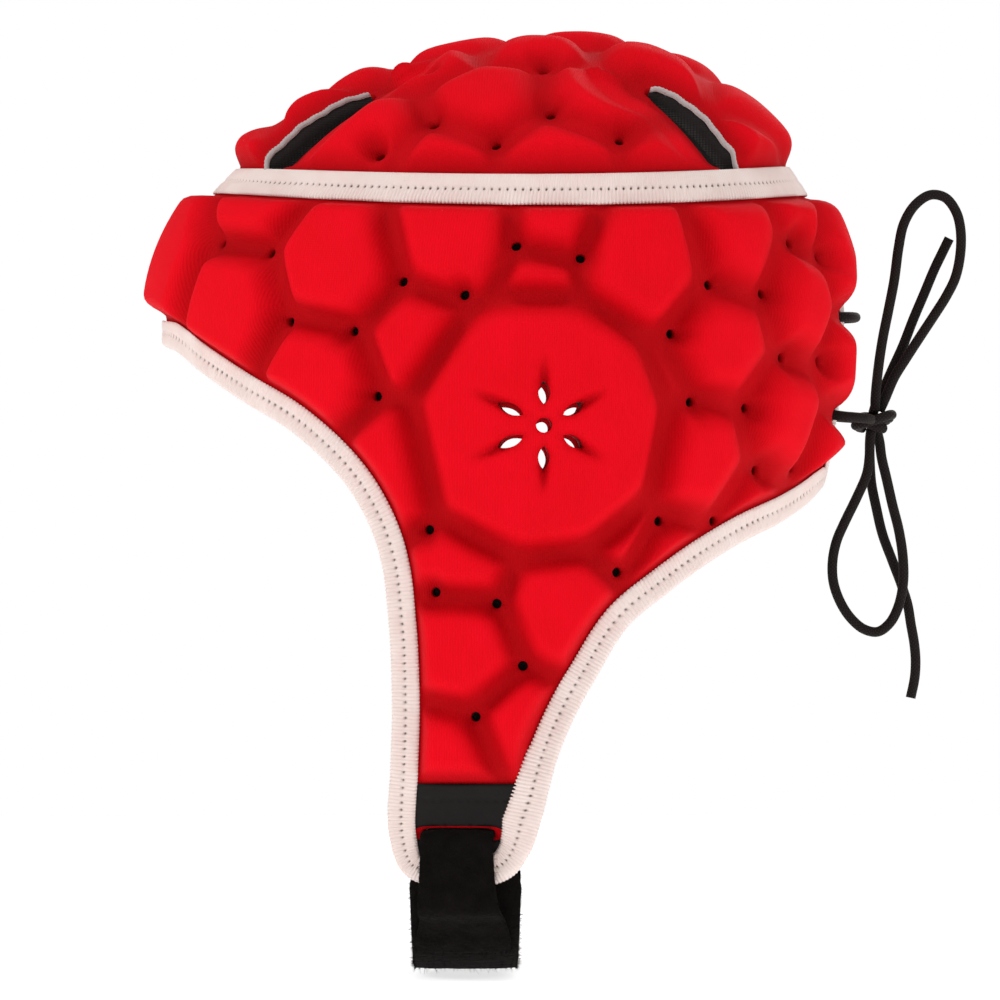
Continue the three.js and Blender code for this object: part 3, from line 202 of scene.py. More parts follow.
def smooth_line(points, steps):
    """Centripetal Catmull-Rom curve: each span is a cubic between two points, and its end slopes come
    from their neighbours, weighted by the square roots of the spans' lengths."""
    p = np.asarray(points, float)
    p = np.vstack([2 * p[0] - p[1], p, 2 * p[-1] - p[-2]])
    gaps = np.sqrt(np.linalg.norm(np.diff(p, axis=0), axis=1))[:, None]
    before, here, after = gaps[:-2], gaps[1:-1], gaps[2:]
    a, b, c, d = p[:-3], p[1:-2], p[2:-1], p[3:]
    start = ((b - a) / before - (c - a) / (before + here) + (c - b) / here) * here
    end = ((c - b) / here - (d - b) / (here + after) + (d - c) / after) * here
    t = np.arange(steps)[None, :, None] / steps
    b, c, start, end = (v[:, None, :] for v in (b, c, start, end))
    cubic = (
        b * (2 * t**3 - 3 * t**2 + 1)
        + start * (t**3 - 2 * t**2 + t)
        + c * (3 * t**2 - 2 * t**3)
        + end * (t**3 - t**2)
    )
    return np.vstack([cubic.reshape(-1, p.shape[1]), p[-2]])


def evenly(line, along, count):
    """The line's rows at count even steps of its length, which is measured on the points in along."""
    length = walked(along)
    at = np.linspace(0, length[-1], count)
    return np.stack([np.interp(at, length, column) for column in line.T], axis=-1)


print("brow, ear and nape at the girth", place([0, 90, 180], [1, 1, 1], 0).round(3).tolist())

# %% [markdown]
# The layers lie on each other as on the real cap: lining, foam, pads, tape. Their offsets could be
# typed one by one. Working each out from the thicknesses and gaps below it keeps the layers from
# crossing when one of them changes.

# %% Walls and offsets
clearance = 0.3 * mm
seam_gap = 0.5 * mm
tape_gap = 0.55 * mm
lining_sag = 0.9 * mm
lining_wall = 1.0 * mm
foam_wall = 3.2 * mm
pad_rise = 7.8 * mm
pad_dome = 0.6 * mm
tape_wall = 0.7 * mm
band_width = 10 * mm
binding_width = 8.2 * mm
tape_margin = 1.4 * mm
patch_height = 30 * mm

foam_inner = lining_wall + clearance
foam_outer = foam_inner + foam_wall
pad_middle = foam_outer + pad_rise / 2
tape_inner = foam_outer + tape_gap
tape_outer = tape_inner + tape_wall
inner_tape_top = -lining_sag - tape_gap


def band_level(turn):
    """The band's middle line lies a little lower over the ears than at the brow and the nape."""
    return 0.496 - 0.028 * np.cos(2 * np.radians(turn))


print("foam from", round(foam_inner / mm, 2), "to", round((foam_outer + pad_rise) / mm, 2), "millimetres out")

# %% [markdown]
# Cloth shows two scales: the weave itself and slow changes of shade. Both could be painted on a
# picture. Nodes need no picture, stay sharp close up, and can be built by small functions. The cloth
# map gives millimetres on the cloth itself, so a rib or a stitch keeps its real size wherever the cloth
# bends. Object coordinates give the slow changes of colour that run across pieces.

# %% Helpers for materials
def add_node(material, kind, **settings):
    """A node of a kind, with its settings and its sockets' values given by name."""
    node = material.node_tree.nodes.new(kind)
    for key, value in settings.items():
        if key in node.bl_rna.properties:
            setattr(node, key, value)
        else:
            node.inputs[key.replace("_", " ")].default_value = value
    return node


def join(material, source, target):
    """A link from an output to an input."""
    material.node_tree.links.new(source, target)


def new_material(name, color, roughness, specular=0.3):
    """A material with its shader, whose even values are set on the sockets."""
    material = bpy.data.materials.new(name)
    material.use_nodes = True
    shader = material.node_tree.nodes["Principled BSDF"]
    shader.inputs["Base Color"].default_value = (*color, 1)
    shader.inputs["Roughness"].default_value = roughness
    shader.inputs["Specular IOR Level"].default_value = specular
    return material, shader


def with_sheen(shader, weight, roughness, tint):
    """The soft glow of fibres that stand off the cloth."""
    shader.inputs["Sheen Weight"].default_value = weight
    shader.inputs["Sheen Roughness"].default_value = roughness
    shader.inputs["Sheen Tint"].default_value = (*tint, 1)

# %% [markdown]
# Yarns, grain and dye give a cloth two kinds of pattern: stripes of a known pitch, and specks of a
# known size. Both are given in millimetres here, because a pitch can be measured on the real cloth.

# %% Patterns of cloth
def wave_scale(pitch_mm):
    """A Wave texture turns once each 2 pi / (20 scale), so the scale for a pitch is 2 pi / (20 pitch)."""
    return 2 * np.pi / (20 * pitch_mm)


def stripes(material, source, direction, pitch_mm, distortion=0.0, detail_scale=1.0):
    """Soft stripes of a pitch along a direction, uneven by the distortion."""
    wave = add_node(
        material, "ShaderNodeTexWave", wave_type="BANDS", bands_direction=direction,
        Scale=wave_scale(pitch_mm), Distortion=distortion, Detail=1.0)
    wave.inputs["Detail Scale"].default_value = detail_scale
    join(material, source, wave.inputs["Vector"])
    return wave.outputs["Fac"]


def speckle(material, source, size, detail=3.0):
    """Noise whose blotches are about size across, in the units of its coordinates."""
    noise = add_node(material, "ShaderNodeTexNoise", Scale=1 / size, Detail=detail)
    join(material, source, noise.inputs["Vector"])
    return noise.outputs["Fac"]


def blend_value(material, how, a, b):
    """A sum or a product of two numbers or sockets."""
    node = add_node(material, "ShaderNodeMath", operation=how)
    for socket, value in zip(node.inputs, (a, b)):
        if isinstance(value, (int, float)):
            socket.default_value = value
        else:
            join(material, value, socket)
    return node.outputs["Value"]


def blend_color(material, factor, low, high):
    """low where the factor is 0 and high where it is 1. Each is a colour or a socket."""
    node = add_node(material, "ShaderNodeMix", data_type="RGBA")
    sockets = [s for s in node.inputs if s.type == "RGBA"]
    join(material, factor, node.inputs["Factor"])
    for socket, value in zip(sockets, (low, high)):
        if isinstance(value, tuple):
            socket.default_value = (*value, 1)
        else:
            join(material, value, socket)
    return [s for s in node.outputs if s.type == "RGBA"][0]


def mottled(material, shader, factor, low, high):
    """A base colour that goes from low to high with the factor."""
    join(material, blend_color(material, factor, low, high), shader.inputs["Base Color"])


def value_of(material, name):
    """A value that the mesh carries for each point."""
    return add_node(material, "ShaderNodeAttribute", attribute_name=name).outputs["Fac"]


def bump(material, shader, height, depth, strength=1.0):
    """Fine relief: a height from 0 to 1 stands for a depth in metres."""
    node = add_node(material, "ShaderNodeBump", Strength=strength, Distance=depth)
    join(material, height, node.inputs["Height"])
    join(material, node.outputs["Normal"], shader.inputs["Normal"])


def cloth_map(material):
    """Millimetres on the cloth."""
    return add_node(material, "ShaderNodeUVMap", uv_map="cloth").outputs["UV"]


def object_map(material):
    """Metres in the cap's frame."""
    return add_node(material, "ShaderNodeTexCoord").outputs["Object"]


# %% [markdown]
# The cover is a fine knit. Its wales run down the cap about 0.6 mm apart, and shallow courses cross
# them. Loops of real geometry would cost millions of faces for what is hardly seen, so the knit is
# bump. Bright saturated red needs a base colour with nearly no green or blue in it. A thin sheen makes
# the cells' rims glow as lit fibres do. The mesh says how high each point stands, and the channels and
# the hearing vent's creases get a darker red: painted shade where little light comes. The grooves
# between the wales are painted a little darker too, as shade, over random patches of tone.

# %% Red knit
def red_knit():
    material, shader = new_material("red knit", (0.78, 0.0, 0.008), 0.75, 0.08)
    with_sheen(shader, 0.05, 0.45, (1.0, 0.1, 0.15))
    cloth = cloth_map(material)
    wales = stripes(material, cloth, "X", 0.62, 0.25, 2.0)
    courses = stripes(material, cloth, "Y", 0.45, 0.2, 2.0)
    knit = blend_value(material, "MULTIPLY_ADD", courses, 0.35)
    join(material, wales, knit.node.inputs[2])
    patchy = speckle(material, object_map(material), 12 * mm)
    # Painted shade: the red is a little darker in the grooves between the wales; the patches add random tone.
    groove_shade_and_tone = blend_value(material, "MULTIPLY", wales, 0.5)
    groove_shade_and_tone = blend_value(material, "ADD", groove_shade_and_tone, patchy)
    color = blend_color(material, blend_value(material, "MULTIPLY", groove_shade_and_tone, 0.6),
                        (0.66, 0.0, 0.004), (0.86, 0.0, 0.012))
    # Painted shade: the lower a point stands, in a channel or a crease of the hearing vent, the darker its
    # red.
    mottled(material, shader, value_of(material, "rise"), (0.44, 0.0, 0.003), color)
    bump(material, shader, knit, 0.10 * mm, 0.55)
    return material


red_cover = red_knit()
print("made", red_cover.name)

# %% [markdown]
# The tape is grosgrain, woven with thick cross yarns. Its heavy ribs are real geometry, because they
# show on its rim. The fine yarn in them is bump. Needle holes along the seam could be modelled too, but
# a dark value that the mesh carries is enough for holes of half a millimetre: painted shade in each
# hole. The white tape's pink tint is a painted reflection of the red cover.

# %% White ribbed tape
def ribbed_tape(name, color, darker_tint):
    material, shader = new_material(name, color, 0.75, 0.25)
    with_sheen(shader, 0.25, 0.5, (1.0, 0.95, 0.93))
    cloth = cloth_map(material)
    yarn = stripes(material, cloth, "Y", 0.33, 0.4, 3.0)
    patchy = speckle(material, object_map(material), 6 * mm)
    # Random patches toward the darker tint; for the white tape that tint is pinker, a painted reflection of
    # the red cover.
    patchy_tint = blend_color(material, patchy, darker_tint, color)
    # Painted shade: near black round each needle hole.
    mottled(material, shader, value_of(material, "needle"), patchy_tint, (0.045, 0.02, 0.018))
    bump(material, shader, yarn, 0.06 * mm, 0.5)
    return material


# Painted reflection: the pink tint in both colours of the white tape stands for red light from the cover.
white_tape = ribbed_tape("white ribbed tape", (0.86, 0.75, 0.71), (0.78, 0.62, 0.57))
grey_tape = ribbed_tape("grey ribbed tape", (0.50, 0.46, 0.45), (0.40, 0.36, 0.35))
print("made", white_tape.name, "and", grey_tape.name)

# %% [markdown]
# Four black cloths differ only by their surface. The lining is a flat knit, the patch a grained
# leatherette with a dull shine, the strap a brushed pile that swallows light, and the lace a braid of
# two sets of yarns that cross. One black for all would be quicker, but it is their grain that tells
# them apart.

# %% Dark materials
def black_lining():
    material, shader = new_material("black lining", (0.012, 0.010, 0.009), 0.9, 0.2)
    with_sheen(shader, 0.15, 0.5, (0.9, 0.85, 0.8))
    cloth = cloth_map(material)
    wales = stripes(material, cloth, "X", 0.9, 0.2)
    courses = stripes(material, cloth, "Y", 0.7, 0.2)
    knit = blend_value(material, "ADD", wales, courses)
    patchy = speckle(material, object_map(material), 15 * mm)
    mottled(material, shader, patchy, (0.009, 0.007, 0.007), (0.018, 0.015, 0.014))
    bump(material, shader, knit, 0.12 * mm, 0.6)
    return material


def black_leatherette():
    material, shader = new_material("black leatherette", (0.008, 0.006, 0.006), 0.5, 0.12)
    where = object_map(material)
    grain = add_node(material, "ShaderNodeTexVoronoi", feature="SMOOTH_F1", Scale=1 / (0.9 * mm))
    join(material, where, grain.inputs["Vector"])
    fine = speckle(material, where, 0.5 * mm)
    rough = blend_value(material, "MULTIPLY_ADD", fine, 0.25)
    rough.node.inputs[2].default_value = 0.4
    join(material, rough, shader.inputs["Roughness"])
    patchy = speckle(material, where, 8 * mm)
    mottled(material, shader, patchy, (0.005, 0.004, 0.004), (0.012, 0.010, 0.009))
    bump(material, shader, grain.outputs["Distance"], 0.12 * mm, 0.5)
    return material


def brushed_pile():
    material, shader = new_material("black brushed pile", (0.004, 0.003, 0.003), 1.0, 0.02)
    with_sheen(shader, 0.02, 0.5, (0.75, 0.68, 0.66))
    where = object_map(material)
    tufts = speckle(material, where, 1.1 * mm, 5.0)
    patchy = speckle(material, where, 5 * mm)
    mottled(material, shader, patchy, (0.002, 0.0015, 0.0015), (0.009, 0.007, 0.007))
    bump(material, shader, tufts, 0.5 * mm, 0.9)
    return material


def elastic_braid():
    material, shader = new_material("black elastic braid", (0.012, 0.009, 0.008), 0.7, 0.14)
    with_sheen(shader, 0.06, 0.4, (0.9, 0.75, 0.65))
    cloth = cloth_map(material)
    slant = add_node(material, "ShaderNodeMapping")
    slant.inputs["Rotation"].default_value = (0, 0, np.radians(45))
    join(material, cloth, slant.inputs["Vector"])
    one = stripes(material, slant.outputs["Vector"], "X", 0.8)
    other = stripes(material, slant.outputs["Vector"], "Y", 0.8)
    braid = blend_value(material, "MULTIPLY", one, other)
    # Painted shade: the braid is darker where its bump is low, between the yarns.
    mottled(material, shader, braid, (0.006, 0.004, 0.004), (0.022, 0.015, 0.012))
    bump(material, shader, braid, 0.15 * mm, 0.8)
    return material


lining_cloth = black_lining()
patch_leather = black_leatherette()
strap_pile = brushed_pile()
lace_braid = elastic_braid()
print("made", [m.name for m in (lining_cloth, patch_leather, strap_pile, lace_braid)])

# %% [markdown]
# A cord is a round tube along a smooth line. Blender's curve objects can be given a thickness, but
# rings of points of one's own can be mapped in millimetres and joined to other parts. The rings must
# not twist where the line bends, so each ring's first direction is the one before it, less its part
# along the line.

# %% Tubes
def tube_rings(path, radius, sides):
    """Rings of a tube: path point plus radius times (cosine of the angle times one direction across the
    path plus sine times the other). The first direction is carried along without twist."""
    along = np.gradient(path, axis=0)
    along /= np.linalg.norm(along, axis=1, keepdims=True)
    first = np.empty_like(path)
    across = np.cross(along[0], (0.3, 0.2, 0.9))
    for i, direction in enumerate(along):
        across = across - direction * np.dot(across, direction)
        across /= np.linalg.norm(across)
        first[i] = across
    second = np.cross(along, first)
    angle = 2 * np.pi * np.arange(sides) / sides
    radius = np.broadcast_to(radius, len(path))[:, None, None]
    return path[:, None] + radius * (
        np.cos(angle)[None, :, None] * first[:, None] + np.sin(angle)[None, :, None] * second[:, None])


def skin(rings, looped=False):
    """Points and triangles of a skin through rings of equal count. Each ring is joined to the next by
    pairs of triangles. A looped skin closes on itself; an open one ends in fans round a middle point."""
    spans, count = rings.shape[:2]
    index = np.arange(spans * count).reshape(spans, count)
    ahead = np.roll(index, -1, axis=1)
    if looped:
        low, low_ahead, high, high_ahead = index, ahead, np.roll(index, -1, 0), np.roll(ahead, -1, 0)
    else:
        low, low_ahead, high, high_ahead = index[:-1], ahead[:-1], index[1:], ahead[1:]
    quads = np.stack([low, low_ahead, high_ahead, high], axis=-1).reshape(-1, 4)
    triangles = np.concatenate([quads[:, [0, 1, 2]], quads[:, [0, 2, 3]]])
    points = rings.reshape(-1, 3)
    if not looped:
        start, end = len(points), len(points) + 1
        caps = [
            np.stack([np.full(count, start), ahead[0], index[0]], axis=-1),
            np.stack([np.full(count, end), index[-1], ahead[-1]], axis=-1),
        ]
        triangles = np.concatenate([triangles, *caps])
        points = np.vstack([points, rings[0].mean(axis=0), rings[-1].mean(axis=0)])
    return points, triangles


def with_caps(values):
    """A skin's values per point, with the first and the last again for its two middle points."""
    return np.concatenate([values, values[:1], values[-1:]])


def line_length(path):
    """The sum of the distances between neighbouring points."""
    return float(np.linalg.norm(np.diff(path, axis=0), axis=1).sum())


print("tube rings of a test line", tube_rings(np.array([[0, 0, 0], [0, 0, 1], [0, 1, 2.0]]), 0.1, 8).shape)

# %% [markdown]
# The lace is one black elastic cord, tied in a bow behind the nape. A cord could be simulated until it
# hangs. This one is stiff enough to stand as it was tied, so its loops and ends follow routes of
# points, which are the part's own. The cords come before all other pieces, because their length and
# place are checked against the camera's view.

# %% Lace loops and ends
lace_diameter = 3 * mm
lace_sides = 16
loop_up_route = [
    (2.3, 91.0, -101.2), (2.4, 91.0, -97.6), (2.6, 91.8, -89.0), (2.6, 93.1, -80.0),
    (2.4, 95.0, -70.5), (2.2, 96.7, -61.7), (2.0, 98.0, -52.0), (1.8, 99.6, -44.8),
    (1.5, 103.0, -39.2), (1.1, 107.6, -36.2), (0.7, 112.0, -37.0), (0.3, 115.2, -41.0),
    (-0.1, 116.6, -46.0), (-0.5, 116.7, -53.0), (-0.9, 115.2, -60.8), (-1.2, 112.4, -66.6),
    (-1.5, 109.4, -71.4), (-1.8, 104.8, -78.4), (-2.0, 100.4, -85.2), (-1.6, 96.8, -91.0),
    (-1.1, 94.2, -97.0), (-0.8, 92.4, -101.0),
]
end_up_route = [
    (-2.6, 90.6, -101.4), (-4.4, 91.6, -98.4), (-5.2, 93.6, -94.6), (-5.6, 96.4, -88.4),
    (-5.6, 99.6, -81.4), (-5.4, 102.7, -73.4), (-5.2, 106.0, -65.6), (-5.0, 109.0, -58.4),
    (-4.8, 111.4, -53.4), (-4.6, 113.5, -49.1),
]
loop_down_route = [
    (2.0, 89.8, -106.8), (2.4, 89.4, -110.2), (2.8, 89.2, -115.0), (3.0, 88.4, -120.0),
    (2.9, 85.4, -127.0), (2.8, 81.8, -134.4), (2.6, 79.4, -140.0), (2.4, 78.2, -146.0),
    (2.2, 78.4, -152.0), (2.0, 80.2, -157.6), (1.8, 83.4, -162.8), (1.5, 87.6, -166.4),
    (1.2, 91.8, -167.2), (0.9, 95.4, -164.6), (0.6, 98.0, -159.6), (0.4, 99.4, -153.0),
    (0.2, 99.4, -145.4), (0.0, 98.2, -137.0), (-0.1, 96.2, -129.0), (-0.2, 94.4, -121.0),
    (-0.4, 93.0, -115.0), (-0.6, 92.4, -110.4), (-0.4, 91.6, -106.8),
]
end_down_route = [
    (-2.2, 89.9, -106.6), (-3.4, 89.6, -109.6), (-4.4, 89.6, -115.0), (-4.9, 90.1, -122.6),
    (-4.8, 91.6, -130.2), (-4.6, 93.4, -137.9), (-4.3, 96.4, -146.0), (-4.0, 99.1, -153.2),
    (-3.7, 101.0, -159.4), (-3.4, 101.9, -165.0), (-3.1, 102.9, -170.8), (-2.9, 103.3, -176.0),
    (-2.8, 103.0, -181.2), (-2.8, 101.8, -187.1),
]


def lace_tube(name, path):
    """A tube with a map in millimetres: round the cord one way and along it the other."""
    points, faces = skin(tube_rings(path, lace_diameter / 2, lace_sides))
    around = np.tile(np.arange(lace_sides) / lace_sides * np.pi * lace_diameter, len(path))
    cloth = np.stack([around, np.repeat(walked(path), lace_sides)], axis=-1) / mm
    return make_piece(name, points, faces, lace_braid, with_caps(cloth))


def free_lace(name, route):
    """A cord along a smooth route that leaves the knot at its first point."""
    path = smooth_line(np.array(route) * mm, 6)
    cord = lace_tube(name, path)
    print(name, "is", round(line_length(path), 4), "metres long")


free_lace("lace loop up", loop_up_route)
free_lace("lace end up", end_up_route)
free_lace("lace loop down", loop_down_route)
free_lace("lace end down", end_down_route)

# %% [markdown]
# The knot is the cord itself, wrapped round the strands and pulled tight. A true knot would need the
# whole cord as one line, for a form of 9 mm. Two wraps and a strand that slants over the front look the
# same. Each wrap is a squashed ring that climbs as it goes round, so its ends pass under the next one.

# %% Lace knot
knot_middle = np.array([0.0, 90.6, -103.9]) * mm
knot_depth = 4.6 * mm
knot_width = 4.4 * mm


def wrap(turns, height, tilt, start, reach=1.0):
    """A helix round the strands: angle times turns, a squashed ring across, and a height that climbs
    by height over the whole wrap and rises and falls by tilt once each turn."""
    share = np.linspace(0, 1, 60)
    angle = start + 2 * np.pi * turns * share
    x = reach * knot_width * np.cos(angle)
    y = reach * knot_depth * np.sin(angle)
    z = height * (share - 0.5) + tilt * np.sin(angle + 0.6)
    return knot_middle + np.stack([x, y, z], axis=-1)


knot_lines = [
    wrap(1.15, 3.0 * mm, 0.7 * mm, -2.4),
    wrap(1.0, -2.6 * mm, -1.1 * mm, 0.9, 0.82),
    smooth_line(knot_middle + np.array([
        (-2.0, -4.6, -1.6), (1.0, -5.4, -1.4), (4.4, -3.2, -0.9), (5.6, 0.2, 0.2),
        (4.6, 3.6, 1.4), (1.2, 5.4, 1.8), (-2.4, 4.6, 1.2)]) * mm, 8),
]
knot_skins = [skin(tube_rings(line, 0.98 * lace_diameter / 2, lace_sides)) for line in knot_lines]
knot_starts = np.cumsum([0] + [len(points) for points, _ in knot_skins[:-1]])
knot_points = np.vstack([points for points, _ in knot_skins])
knot_faces = np.vstack([faces + start for (_, faces), start in zip(knot_skins, knot_starts)])
make_piece("lace knot", knot_points, knot_faces, lace_braid, knot_points[:, [1, 2]] / mm)

# %% [markdown]
# The rest of the lace runs through four holes beside the slit: across the slit outside, down inside the
# cap on each side, out again and into the knot. It could be left out where it is hidden, but it shows
# from below. Its rows are places on the cap, so it keeps its distance from the foam. The cap holds this
# stretch, so it isn't a free cord.

# %% Lace run
lace_run_rows = [
    (180, 0.976, 9.2), (175, 0.976, 9.0), (171.5, 0.976, 8.4), (169.2, 0.976, 6.9),
    (168, 0.976, 4.6), (168, 0.976, 1.5), (168, 0.977, -1.4), (168, 0.992, -3.2),
    (168, 1.020, -3.8), (168, 1.060, -3.8), (168, 1.100, -3.8), (168, 1.138, -3.7),
    (168, 1.156, -2.7), (168, 1.159, -0.6), (168, 1.161, 2.2), (168, 1.164, 5.6),
    (168.8, 1.167, 9.0), (170.8, 1.169, 12.6), (173.4, 1.171, 15.2), (175.6, 1.172, 16.0),
    (178.2, 1.173, 16.0),
]
run_turn, run_level, run_out = np.array(lace_run_rows).T
run_left = place(run_turn, run_level, run_out * mm)
run_right = run_left[:0:-1] * (-1, 1, 1)
run_route = np.vstack([run_right, run_left])
lace_tube("lace run", smooth_line(run_route, 6))
print("lace held by the cap", round(line_length(run_route), 4), "metres")

# %% [markdown]
# The cap's lower edge is one cut: from the brow down round the ear flap, back up to the nape, round the
# slit and the same on the right. It could be drawn as a curve object, but three things need it as
# numbers: the outline of the foam, the tape folded over it, and how close a cell may come. Its rows are
# the part's own, with the slit's corners as arcs.

# %% Lower edge
edge_rows = np.array([
    (0, 1.036), (16, 1.050), (26, 1.084), (39, 1.140), (50, 1.195), (59, 1.274),
    (64, 1.354), (66.5, 1.434), (67.5, 1.542), (67.5, 1.680), (67, 1.789), (66.5, 1.910),
    (69, 1.979), (75, 2.000), (81, 2.000), (86.5, 1.980), (89.5, 1.934), (91.5, 1.880),
    (95, 1.771), (99, 1.693), (103, 1.633), (110, 1.540), (118.6, 1.482), (127, 1.434),
    (137.5, 1.390), (150, 1.356), (158, 1.334),
])
nape_level = 1.300
slit_top_level = 0.935
slit_width = 10 * mm
slit_corner = 9 * mm
mean_arc = np.radians(1) * (half_width + brow_reach) / 2
bend_reach = 7 * mm
bend_share = 0.8


def slit_outline():
    """Turn and level of the slit's left half: a quarter circle from the nape's edge, a straight side,
    and a quarter circle that ends at the middle of the slit's top."""
    per_turn = np.radians(1) * (half_width + foam_outer)
    nape_depth = float(depth_of(nape_level))
    top_depth = crown_height * slit_top_level
    half = slit_width / 2
    angle = np.radians([0, 30, 60, 90])
    across = np.concatenate([half + slit_corner * (1 - np.sin(angle)), [half], half * np.cos(angle)])
    depth = np.concatenate([
        nape_depth - slit_corner * (1 - np.cos(angle)),
        [(nape_depth - slit_corner + top_depth + half) / 2],
        top_depth + half - half * np.sin(angle)])
    return np.stack([180 - across / per_turn, level_of(depth)], axis=-1)


def edge_loop(spacing):
    """Stations round the whole edge, evenly spaced in metres: turn, level, point, the way along the
    edge and the way in across the cap."""
    rows = np.vstack([edge_rows, slit_outline()])
    flat = smooth_line(np.stack([rows[:, 0] * mean_arc, -depth_of(rows[:, 1])], axis=-1), 24)
    turn = flat[:, 0] / mean_arc
    level = level_of(-flat[:, 1])
    turn[0], turn[-1] = 0, 180
    left = np.stack([turn, level], axis=-1)
    points = place(turn, level, foam_outer)
    left = evenly(left, points, int(round(line_length(points) / spacing)) + 1)
    right = left[-2:0:-1] * (-1, 1)
    turn, level = np.vstack([left, right]).T
    point = place(turn, level, foam_outer)
    along = np.roll(point, -1, axis=0) - np.roll(point, 1, axis=0)
    step = np.linalg.norm(along, axis=1, keepdims=True) / 2
    along /= 2 * step
    inward = np.cross(tangents(turn, level, foam_outer)[2], along)
    inward /= np.linalg.norm(inward, axis=1, keepdims=True)
    return {"turn": turn, "level": level, "point": point, "along": along, "inward": inward,
            "step": float(step.mean())}


def leg_limit(edge, widest):
    """How far tape can reach in from each station: less than the radius of a bend that closes on the
    inside. The least value within bend_reach counts, smoothed over the same length."""
    near = max(1, int(round(bend_reach / 2 / edge["step"])))
    change = np.roll(edge["along"], -near, axis=0) - np.roll(edge["along"], near, axis=0)
    bend = np.einsum("ij,ij->i", change, edge["inward"]) / (2 * near * edge["step"])
    limit = np.where(bend > 0, np.minimum(bend_share / np.maximum(bend, 1e-6), widest), widest)
    reach = max(1, int(round(bend_reach / edge["step"])))
    count = len(limit)
    window = np.arange(-reach, reach + 1)
    around = (np.arange(count)[:, None] + window[None, :]) % count
    least = limit[around].min(axis=1)
    return least[around].mean(axis=1)


def from_edge(edge, inset, out):
    """Turn and level at an inset from each station. An inset may be one number or one per station."""
    inset = np.broadcast_to(inset, edge["turn"].shape)
    return moved(edge["turn"], edge["level"], edge["inward"] * inset[:, None], out)


coarse_edge = edge_loop(1.1 * mm)
coarse_edge["leg"] = leg_limit(coarse_edge, binding_width)
print("the lower edge is", round(len(coarse_edge["turn"]) * coarse_edge["step"], 3), "metres round")

# %% [markdown]
# The real foam is moulded in cells that stand up as pads. They could be modelled one by one. Instead
# every cell has only a middle and a reach, and the borders follow. A border between two cells runs
# where the two squared distances, each less its squared reach, are the same, so a cell with more reach
# is larger. The tables are the part's own.

# %% Cells
pad_reach = 20 * mm
channel_width = 5 * mm
side_pads = np.array([
    (13, 0.78, 0.95), (38.5, 0.58, 0.75), (59, 0.79, 1.05), (76, 0.67, 1.00), (93, 0.65, 0.70),
    (92, 0.81, 0.50), (110, 0.79, 1.00), (130, 0.73, 0.85), (152.5, 0.65, 0.60), (167, 0.80, 0.85),
    (39, 0.94, 0.90), (56, 1.09, 0.90), (71, 1.025, 0.70), (92, 1.186, 1.90), (114, 1.097, 0.30),
    (126, 1.037, 0.90), (147, 0.925, 0.90), (165, 1.068, 0.85), (123, 1.245, 0.90), (143, 1.175, 0.90),
    (161, 1.236, 0.75), (138, 1.336, 0.75), (109, 1.383, 0.50), (119, 1.433, 0.75), (96.5, 1.52, 0.90),
    (79.5, 1.589, 0.90), (80, 1.448, 0.50), (68, 1.252, 0.70), (88.5, 1.708, 0.80), (76.5, 1.764, 0.80),
])
crown_pads = np.array([
    (37.5, 0.095, 0.80), (75, 0.215, 0.90), (74, 0.032, 0.75), (100, 0.215, 0.90), (134, 0.067, 0.80),
    (71.5, 0.448, 0.80), (93.5, 0.427, 0.90), (115, 0.434, 0.70), (164.5, 0.244, 0.85), (153, 0.430, 0.65),
    (12.5, 0.367, 0.70), (18.5, 0.226, 0.85), (54, 0.342, 0.80), (0, 0.150, 0.70), (0, 0.036, 0.80),
    (180, 0.002, 0.80), (180, 0.110, 0.80),
])
vent_radius = 1.5 * mm
vent_margin = 1.2 * mm
side_vents = np.array([
    (29, 0.71), (43.5, 0.75), (49.5, 1.00), (61.5, 1.02), (65.5, 1.135), (69.5, 0.86), (79.5, 0.91),
    (74, 1.37), (75, 1.48), (84.5, 1.50), (88.5, 1.61), (81, 1.70), (87, 0.73), (98.5, 0.775),
    (116, 1.025), (124, 0.87), (137, 0.90), (120.5, 1.145), (133.5, 1.155), (143, 1.065), (157, 1.07),
    (148, 0.71), (160, 0.76), (138.5, 1.265), (151, 1.26), (116, 1.355), (129, 1.355), (107.5, 1.445),
])
crown_vents = np.array([
    (45, 0.116), (82, 0.074), (89, 0.244), (64.5, 0.278), (80, 0.357), (106, 0.338), (57.5, 0.395),
])


def both_sides(rows):
    """The rows and their mirror images, but for those on the middle plane."""
    off_middle = rows[rows[:, 0] % 180 != 0]
    return np.vstack([rows, off_middle * np.concatenate([[-1], np.ones(rows.shape[1] - 1)])])


def distance_to_line(points, line):
    """Distance from each point to the nearest place on a line of points: along each segment the nearest
    share is the dot product, held between 0 and 1."""
    best = np.full(len(points), np.inf)
    for start, end in zip(line[:-1], line[1:]):
        way = end - start
        share = np.clip((points - start) @ way / (way @ way), 0, 1)
        best = np.minimum(best, np.linalg.norm(points - start - share[:, None] * way, axis=1))
    return best


def soft_least(values, softness):
    """The least value in each row, rounded off where two are nearly equal: minus the softness times the
    logarithm of the summed exponentials."""
    least = values.min(axis=1, keepdims=True)
    return least[:, 0] - softness * np.log(np.exp((least - values) / softness).sum(axis=1))


